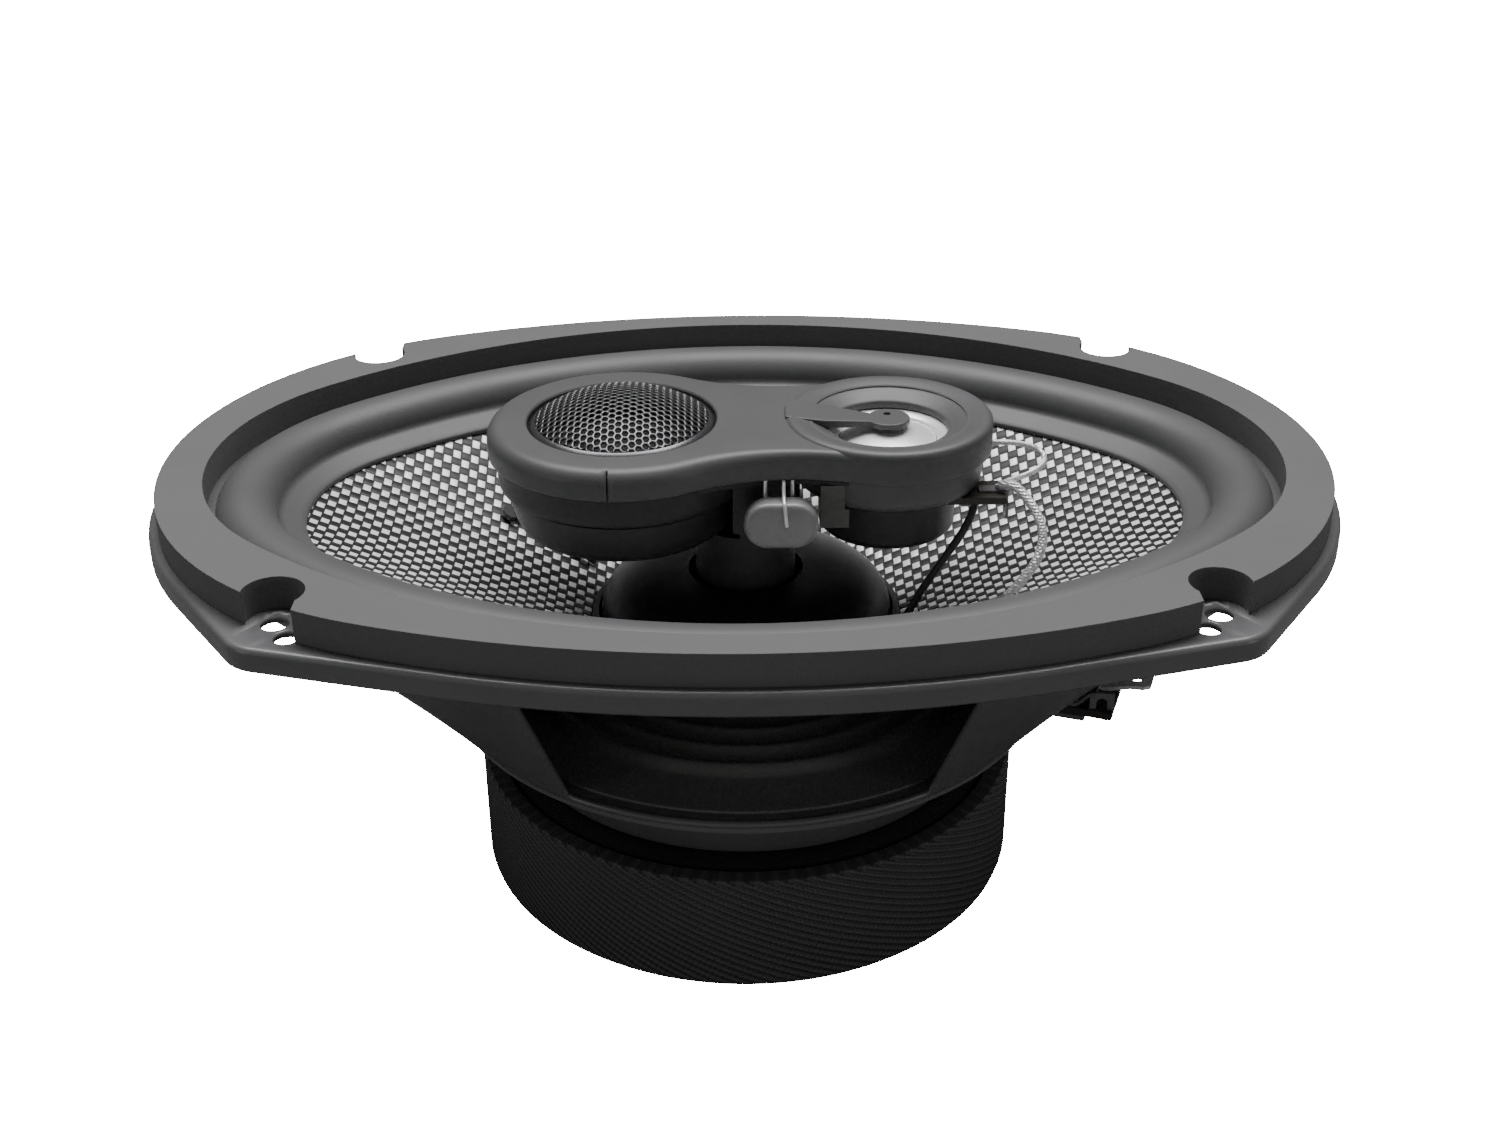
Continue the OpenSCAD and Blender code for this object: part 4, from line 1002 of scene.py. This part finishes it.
punched_dome = finish_piece(bm, "punched_dome", sharp=40)
thicken(punched_dome, 0.45)
mesh_paint = grained("grille_paint", (0.100, 0.100, 0.104), (0.150, 0.150, 0.154), (0.24, 0.36), 0.3, 0.008,
                     metallic=0.75)
paint(punched_dome, mesh_paint)


def ball_z(r, rise=0.0):
    """The domed mesh's height at a radius, on a ball that may be a little larger."""
    return grille_top - grille_ball + math.sqrt((grille_ball + rise) ** 2 - r * r)


bm = bmesh.new()
turned(bm, [(17.2, ball_z(17.2, -0.5)), (17.2, ball_z(17.2, 0.02)), (17.5, ball_z(17.5, 0.07)),
            (18.2, ball_z(18.2, 0.05)),
            (grille_r, ball_z(18.5, 0.0) - 0.2), (grille_r, grille_lo.z + 0.7), (21, grille_lo.z + 0.6),
            (21, grille_lo.z + 0.05), (17.6, grille_lo.z + 0.05), (17.6, grille_lo.z + 0.8)], (mid_at, 0),
            96)
crimped_rim = finish_piece(bm, "crimped_rim", sharp=45)
paint(crimped_rim, mesh_paint)
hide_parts("mid_grille")
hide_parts("mid_grille")

# ---------------------------------------------------------------- midrange
# Moulded housing and back cover that snap together leaving a fine shadow
# line, round a treated cloth diaphragm on a doped cloth edge.
housing_lo, housing_hi = (Vector(c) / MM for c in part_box("mid_housing"))
back_lo, back_hi = (Vector(c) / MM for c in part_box("mid_back_cover"))
mid_r, mid_foot, mid_top = housing_hi.y, housing_lo.z, housing_hi.z
back_r = back_hi.y
bm = bmesh.new()
turned(bm, [(mid_r - 3.6, mid_foot), (mid_r - 1.0, mid_foot), (mid_r - 0.35, mid_foot + 0.25),
            (mid_r - 0.05, mid_foot + 0.9),
            (mid_r, mid_foot + 2), (mid_r, mid_top), (mid_r - 3.6, mid_top), (mid_r - 3.6, mid_foot + 6.2),
            (mid_r - 4.8, mid_foot + 6.2), (mid_r - 4.8, mid_foot + 2.55), (mid_r - 3.6, mid_foot + 2.55)],
            (mid_at, 0))
mid_shell = finish_piece(bm, "mid_shell", sharp=40)
soften(mid_shell, 0.2, 2, 50)
paint(mid_shell, dull_plastic)
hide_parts("mid_housing")
bm = bmesh.new()
turned(bm, [(0, back_lo.z), (back_r - 4.2, back_lo.z), (back_r - 2.8, back_lo.z + 0.3),
            (back_r - 1.9, back_lo.z + 1.2),
            (back_r - 1.3, back_lo.z + 2.6), (back_r, mid_foot - 1.4), (back_r, mid_foot - 0.8),
            (back_r - 0.2, mid_foot - 0.6),
            (back_r - 1, mid_foot - 0.6), (back_r - 1, mid_foot), (back_r - 2.2, mid_foot),
            (back_r - 2.9, back_lo.z + 2),
            (back_r - 4.4, back_lo.z + 1.4), (0, back_lo.z + 1.4)], (mid_at, 0), closed=False)
mid_back = finish_piece(bm, "mid_back", sharp=40)
glossy_plastic = grained("smooth_black_plastic", (0.022, 0.022, 0.023), (0.032, 0.032, 0.033), (0.36, 0.46),
                         0.9, 0.004, specular=0.35)
paint(mid_back, glossy_plastic)
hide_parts("mid_back_cover")
treated_cloth = banded(grained("treated_cloth", (0.020, 0.020, 0.022), (0.040, 0.040, 0.042), (0.45, 0.65),
                               0.25, 0.02), 0.35, 0.03, "X")
coat(treated_cloth, "mid_diaphragm", "mid_suspension")

# ---------------------------------------------------------------- tweeter
# A silver balanced dome on a bright film edge behind a small phase disc,
# which an arm holds from the raised ring.
tw_lo, tw_hi = (Vector(c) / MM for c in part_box("tweeter_housing"))
can_lo, can_hi = (Vector(c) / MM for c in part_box("tweeter_back_can"))
tw_r, can_r = tw_hi.y, can_hi.y
plate_z = tw_hi.z
bm = bmesh.new()
turned(bm, [(can_r + 0.3, tw_lo.z), (tw_r - 1.6, tw_lo.z), (tw_r - 0.7, tw_lo.z + 0.25),
            (tw_r - 0.25, tw_lo.z + 0.8),
            (tw_r - 0.05, tw_lo.z + 2), (tw_r, tw_lo.z + 4.5), (tw_r, plate_z), (13, plate_z),
            (13, plate_z - 1.3),
            (tw_r - 2, plate_z - 1.3), (tw_r - 2, tw_lo.z + 1.6), (can_r + 0.3, tw_lo.z + 1.6)],
            (tweeter_at, 0))
tweeter_shell = finish_piece(bm, "tweeter_shell", sharp=40)
soften(tweeter_shell, 0.2, 2, 50)
paint(tweeter_shell, satin_plastic)
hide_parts("tweeter_housing")
bm = bmesh.new()
turned(bm, [(0, can_lo.z), (can_r - 1.6, can_lo.z), (can_r - 0.8, can_lo.z + 0.2),
            (can_r - 0.2, can_lo.z + 0.8),
            (can_r, can_lo.z + 1.6), (can_r, can_hi.z), (can_r - 1.4, can_hi.z),
            (can_r - 1.4, can_lo.z + 1.4), (0, can_lo.z + 1.4)],
       (tweeter_at, 0), 96, closed=False)
tweeter_cup = finish_piece(bm, "tweeter_cup", sharp=40)
paint(tweeter_cup, glossy_plastic)
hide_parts("tweeter_back_can")
silver_film = grained("silver_film", (0.90, 0.90, 0.91), (0.96, 0.96, 0.97), (0.26, 0.36), 0.9, 0.006,
                      metallic=0.35)
ball_r = 22
dome_edge = 9.6
dome_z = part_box("tweeter_dome")[1].z / MM
film_t = 0.3
half_turn = math.degrees(math.asin(dome_edge / ball_r))
film_top = arc_points((0, dome_z - ball_r), ball_r, 90, 90 - half_turn, 10)
bm = bmesh.new()
turned(bm, film_top + [(r, z - film_t) for r, z in reversed(film_top)], (tweeter_at, 0), 96, closed=False)
film_dome = finish_piece(bm, "film_dome", "tweeter_diaphragm", sharp=60)
paint(film_dome, silver_film)
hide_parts("tweeter_dome")
edge_z = dome_z - 1.3
bm = bmesh.new()
turned(bm, [(9.7, edge_z - 0.9), (10.1, edge_z - 0.55), (10.9, edge_z - 0.1), (11.8, edge_z),
            (12.85, edge_z - 0.1),
            (12.85, edge_z - 0.3), (11.8, edge_z - 0.2), (10.9, edge_z - 0.3), (10.1, edge_z - 0.75),
            (9.7, edge_z - 1.1)],
       (tweeter_at, 0), 96)
film_edge = finish_piece(bm, "film_edge", body=None, sharp=60)
paint(film_edge, silver_film)
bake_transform(film_edge, "frame", "tweeter_diaphragm", start=(0, 0, 1), end=(0, 0, -1))
give(film_edge, 12.6, 9.8, lambda p: math.hypot(p.x - tweeter_at, p.y))
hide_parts("tweeter_suspension")

plug_z, arm_top, arm_end = cover_top - 1.6, crown_z + 0.03, tweeter_lobe - 0.15
disc_r = 4.3
bm = bmesh.new()
disc = arc_points((0, 0), disc_r, -148, 148, 32)
arm_dip = 1.0
arm = [(-13, 5.6), (-arm_end + 1.1, 8.2), (-arm_end, 4), (-arm_end, -1.6), (-13, -2.9)]
verts = [bm.verts.new((x, y, plug_z)) for x, y in disc + arm]
sole = bm.faces.new(verts)
for v in new_points(bmesh.ops.extrude_face_region(bm, geom=[sole])):
    v.co.z = arm_top - arm_dip * min(1, (v.co.x + arm_end) / (arm_end - disc_r))
bmesh.ops.translate(bm, vec=(tweeter_at, 0, 0), verts=bm.verts)
bmesh.ops.recalc_face_normals(bm, faces=bm.faces)
phase_disc = finish_piece(bm, "phase_disc", sharp=40)
soften(phase_disc, 0.35, 3, 40)
paint(phase_disc, satin_plastic)
# A near-black disc laid on the arm over the vent: painted shadow standing in for the dark inside the vent
# hole.
bm = bmesh.new()
vent_z = arm_top - arm_dip
turned(bm, [(0.0, vent_z + 0.012), (0.72, vent_z + 0.012), (0.8, vent_z - 0.05), (0.0, vent_z - 0.05)],
       (tweeter_at - 0.2, 1.6), 24, closed=False)
vent_painted_shadow = finish_piece(bm, "vent_painted_shadow")
vent_dark = grained("vent_shadow", (0.002, 0.002, 0.002), (0.004, 0.004, 0.004), (0.8, 0.9), 0.3, 0.01,
                    specular=0.1)
paint(vent_painted_shadow, vent_dark)
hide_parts("tweeter_phase_plug")
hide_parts("tweeter_phase_plug")

# ---------------------------------------------------------------- crossover capacitors
# Two dipped film capacitors with epoxy coats, hung from the pods' base by
# tinned wires, one of them bent down over the front one's face.
epoxy = grained("dipped_epoxy", (0.24, 0.24, 0.245), (0.30, 0.30, 0.305), (0.28, 0.42), 0.6, 0.03, coat=0.25)
tin_wire = grained("tinned_wire", (0.78, 0.78, 0.79), (0.90, 0.90, 0.91), (0.26, 0.38), 0.3, 0.006,
                   metallic=0.5)


def dipped_body(name, node):
    """An upright pill-shaped body with pillowed faces, in its modelled part's box."""
    lo, hi = (Vector(c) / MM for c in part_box(node))
    mid, half, r = (lo + hi) / 2, (hi.x - lo.x) / 2, (hi.z - lo.z) / 2
    bm = bmesh.new()
    points = arc_points((half - r, 0), r, -90, 90, 16) + arc_points((r - half, 0), r, 90, 270, 16)
    face = bm.faces.new([bm.verts.new((mid.x + x, lo.y + 0.9, mid.z + z)) for x, z in points])
    back = bmesh.ops.extrude_face_region(bm, geom=[face])
    bmesh.ops.translate(bm, vec=(0, hi.y - lo.y - 1.8, 0), verts=new_points(back))
    for side, depth in ((-1, lo.y), (1, hi.y)):
        cap = max((f for f in bm.faces if len(f.verts) > 8), key=lambda f: side * f.calc_center_median().y)
        for inset, step in ((0.15, 0.45), (0.3, 0.3), (0.7, 0.15)):
            bmesh.ops.inset_region(bm, faces=[cap], thickness=inset)
            bmesh.ops.translate(bm, vec=(0, side * step, 0), verts=cap.verts)
    bmesh.ops.recalc_face_normals(bm, faces=bm.faces)
    body = finish_piece(bm, name, sharp=75)
    paint(body, epoxy)
    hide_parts(node)
    return mid, lo, hi


front = min(("tweeter_capacitor", "mid_capacitor"), key=lambda node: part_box(node)[0].y)
rear = {"tweeter_capacitor": "mid_capacitor", "mid_capacitor": "tweeter_capacitor"}[front]
front_mid, front_lo, front_hi = dipped_body("front_capacitor", front)
dipped_body("rear_capacitor", rear)


def carried_axes(line):
    """Each point of a line, with two directions square to it that don't twist along the way."""
    across = None
    for i, p in enumerate(line):
        ahead = (line[min(i + 1, len(line) - 1)] - line[max(i - 1, 0)]).normalized()
        if across is None:
            across = ahead.orthogonal().normalized()
        across = (across - ahead * across.dot(ahead)).normalized()
        yield p, across, ahead.cross(across)


def tube_along(bm, points, radius, sides=12, share=4):
    """A round wire that follows a smooth line through the points."""
    points = [Vector(p) for p in points]
    smooth = []
    for i in range(len(points) - 1):
        p0, p1, p2, p3 = points[max(i - 1, 0)], points[i], points[i + 1], points[min(i + 2, len(points) - 1)]
        for k in range(share):
            t = k / share
            smooth.append(0.5 * (2 * p1 + (p2 - p0) * t + (2 * p0 - 5 * p1 + 4 * p2 - p3) * t * t
                                 + (3 * p1 - p0 - 3 * p2 + p3) * t ** 3))
    smooth.append(points[-1])
    turns = [2 * math.pi * j / sides for j in range(sides)]
    loops = [[p + radius * (across * math.cos(t) + other * math.sin(t)) for t in turns]
             for p, across, other in carried_axes(smooth)]
    verts, edges = loop_of(bm, loops[0])
    bm.faces.new(verts)
    verts, edges = walk(bm, verts, edges, loops[1:])
    bm.faces.new(verts)
    return smooth


bm = bmesh.new()
base_z = cover_foot - 0.2
inner = abs(front_hi.y) - 0.45
for dx in (-3, 2.2):
    for side in (-1, 1):
        tube_along(bm, [(front_mid.x + dx, side * (inner + spread), base_z - drop)
                        for spread, drop in ((0, 0), (0, 1.6), (0.1, 3.8), (0.6, 4.9))], 0.38)
face_y = front_lo.y - 0.3
tube_along(bm, [(front_mid.x + 0.5, front_hi.y + 1.2, base_z),
                (front_mid.x + 0.5, front_hi.y - 0.3, base_z - 0.3),
                (front_mid.x + 0.5, front_mid.y - 0.5, front_hi.z + 0.62),
                (front_mid.x + 0.6, face_y + 0.3, front_hi.z - 0.1),
                (front_mid.x + 0.75, face_y, front_hi.z - 1.6),
                (front_mid.x + 1.0, face_y, front_hi.z - 4.4)], 0.36)
bmesh.ops.recalc_face_normals(bm, faces=bm.faces)
capacitor_wires = finish_piece(bm, "capacitor_wires", sharp=60)
paint(capacitor_wires, tin_wire)
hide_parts("capacitor_leads")
card = grained("insulating_card", (0.10, 0.098, 0.094), (0.15, 0.147, 0.14), (0.6, 0.8), 0.5, 0.03)
coat(card, "insulating_tag")

# ---------------------------------------------------------------- lead wires
# Tinsel braid from the pods to the lugs, a sleeved pair from the lugs to the
# cone, and the terminals' braids to the voice coil.
pod_path = [(47.6, 4.4, 10.7), (49, 3.5, 11.2), (52.5, 2.6, 11.6), (56, 2, 11.4), (58.8, 1.2, 10.6),
            (60, -0.6, 9.6),
            (59, -2.8, 8.6), (56.2, -4.8, 7.9), (53, -6.4, 7.5), (50.8, -7.8, 7.3), (49.6, -8.6, 7.0)]


def braid(bm, path, radius, strands=5, lay=5.0):
    """Strands laid round one another along a line, each a thin wire."""
    guide = bmesh.new()
    line = tube_along(guide, path, radius * 0.5, 6)
    guide.free()
    run = 0.0
    last = line[0]
    tracks = [[] for _ in range(strands)]
    for p, across, other in carried_axes(line):
        run += (p - last).length
        last = p
        for s, track in enumerate(tracks):
            t = 2 * math.pi * (s / strands + run / lay)
            track.append(p + 0.58 * radius * (across * math.cos(t) + other * math.sin(t)))
    for track in tracks:
        tube_along(bm, track, radius * 0.42, 6, 2)


bm = bmesh.new()
braid(bm, pod_path, 0.6)
bmesh.ops.recalc_face_normals(bm, faces=bm.faces)
pod_tinsel = finish_piece(bm, "pod_tinsel", sharp=60)
paint(pod_tinsel, tin_wire)
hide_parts("pod_braid")

cone_path = [(50.2, -8.8, 7.3), (50.9, -9.4, 7.7), (53, -10.6, 7.9), (55.6, -13.4, 5.6), (57.4, -16.2, 2.6),
             (57.6, -18.4, -1),
             (56.2, -20, -4.2), (54.4, -20.7, -6.6), (52.6, -21, -9.0), (50.9, -20.9, -11.0)]
sleeve_path = [(45.4, -8.4, 3.8), (44.9, -9.2, 1.6), (43.2, -10, -2), (40, -10.6, -7), (36.6, -11, -12.4),
               (33.8, -11.2, -17.4),
               (32.4, -11.4, -20.6)]
tin_braid = banded(grained("tinsel_braid", (0.62, 0.62, 0.63), (0.82, 0.82, 0.83), (0.28, 0.42), 0.25, 0.02,
                           metallic=0.45), 0.5, 0.1)
bm = bmesh.new()
braid(bm, cone_path, 1.0, 6, 6.5)
bmesh.ops.recalc_face_normals(bm, faces=bm.faces)
cone_tinsel = finish_piece(bm, "cone_tinsel", body=None, sharp=60)
paint(cone_tinsel, tin_braid)
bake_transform(cone_tinsel, "frame", "woofer_assembly", start=Vector((0, 0, 7.4)) * MM,
         end=Vector((0, 0, -10.5)) * MM)
bm = bmesh.new()
tube_along(bm, sleeve_path, 0.8)
bmesh.ops.recalc_face_normals(bm, faces=bm.faces)
cone_sleeve = finish_piece(bm, "cone_sleeve", body=None, sharp=60)
paint(cone_sleeve, sleeve_finish)
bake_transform(cone_sleeve, "frame", "woofer_assembly", start=Vector((0, 0, 3.4)) * MM,
         end=Vector((0, 0, -19)) * MM)
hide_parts("cone_braids")
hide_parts("cone_braids")

tinsel_path = [(66, 4, 0), (62, 4, 1.2), (57, 3.8, 1.6), (51, 3.6, 2.2), (45, 3.2, 3.6), (40, 3, 6)]
bm = bmesh.new()
for side in (-1, 1):
    braid(bm, [Matrix.Rotation(terminal_turn, 3, "Z") @ Vector((x, side * y, terminal_z + 3.05 + z))
               for x, y, z in tinsel_path], 0.6)
bmesh.ops.recalc_face_normals(bm, faces=bm.faces)
terminal_tinsel = finish_piece(bm, "terminal_tinsel", body=None, sharp=60)
paint(terminal_tinsel, grained("copper_tinsel", (0.50, 0.30, 0.14), (0.66, 0.42, 0.22), (0.28, 0.42), 0.2,
                               0.01, metallic=1.0))
outward = Matrix.Rotation(terminal_turn, 3, "Z") @ Vector((1, 0, 0))
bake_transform(terminal_tinsel, "frame", "woofer_assembly", start=outward * 64 * MM, end=outward * 41 * MM)
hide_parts("tinsel_leads")

# ---------------------------------------------------------------- lugs and terminals
# Punched tin-plated tags riveted to phenolic paper boards.
board_paper = banded(grained("phenolic_paper", (0.022, 0.018, 0.014), (0.040, 0.032, 0.026), (0.35, 0.55),
                             0.6, 0.01), 0.9, 0.01, "X")
coat(board_paper, "lug_board", "terminal_board")
tag_metal = grained("worn_tin_plate", (0.14, 0.14, 0.145), (0.26, 0.26, 0.265), (0.25, 0.45), 0.5, 0.02,
                    metallic=0.55)
coat(tag_metal, "solder_lugs")
blade_metal = grained("bright_tin_plate", (0.84, 0.84, 0.85), (0.93, 0.93, 0.94), (0.30, 0.42), 0.7, 0.006,
                      metallic=0.25)
tag_t = 0.8


def pressed_tag(name, node, outline, hole, bends, frame_of, finish):
    """A punched tag: its flat outline and hole, cut out, thickened and then bent along its length."""
    bm = bmesh.new()
    edges = loop_of(bm, [Vector((x, y, 0)) for x, y in outline])[1]
    edges += loop_of(bm, [Vector((x, y, 0)) for x, y in hole])[1]
    bmesh.ops.triangle_fill(bm, use_beauty=True, edges=edges, normal=(0, 0, 1))
    for x, _ in bends[1:-1]:
        slice_at(bm, (x, 0, 0), (1, 0, 0))
    drawn = bmesh.ops.extrude_face_region(bm, geom=bm.faces[:])
    bmesh.ops.translate(bm, vec=(0, 0, tag_t), verts=new_points(drawn))
    for v in bm.verts:
        for (x0, z0), (x1, z1) in zip(bends, bends[1:]):
            if x0 - 1e-6 <= v.co.x <= x1 + 1e-6:
                v.co.z += z0 + (z1 - z0) * (v.co.x - x0) / (x1 - x0)
                break
    bmesh.ops.transform(bm, matrix=frame_of, verts=bm.verts)
    bmesh.ops.recalc_face_normals(bm, faces=bm.faces)
    tag = finish_piece(bm, name, sharp=30)
    paint(tag, finish)
    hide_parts(node)


at_board = Matrix.Rotation(terminal_turn, 4, "Z") @ Matrix.Translation((0, 0, terminal_z + 1.6))
blade = [(64, 1.05), (64, 7.35), (82.6, 7.35), (84, 6.2), (84, 2.2), (82.6, 1.05)]
pressed_tag("blade_tag", "large_spade", blade, arc_points((81, 4.2), 1.1, 0, 345, 23),
            [(64, 0), (75.5, 0), (77, 0.3), (78.5, 0.8), (80, 1.2), (81.5, 1.4), (84, 1.4)], at_board,
            blade_metal)
strip = [(64, -7), (64, -2.2), (74.6, -2.2), (74.6, -7)]
pressed_tag("solder_strip", "small_spade", strip, arc_points((67, -4.6), 0.8, 0, 345, 23),
            [(64, 0), (70.5, 0), (71.5, 0.6), (73.2, 2.6), (74.6, 3.1)], at_board, tag_metal)
hanging = (Matrix.Translation(Vector((69.2, -31.2, terminal_z + 5.3)))
           @ Matrix.Rotation(math.radians(-9), 4, "Z") @ Matrix.Rotation(math.pi / 2, 4, "X"))
eye = [(-2.35, 0), (-2.35, -5.0), (-1.6, -5.5), (1.1, -6.1), (2.35, -5.2), (2.35, 0)]
oval_eye = arc_points((0, -2.2), 1.05, 0, 180, 12) + arc_points((0, -3.6), 1.05, 180, 360, 12)
pressed_tag("solder_eye", "small_spade", eye[::-1], oval_eye, [(-3, 0), (0, 0), (3, 0)], hanging, tag_metal)
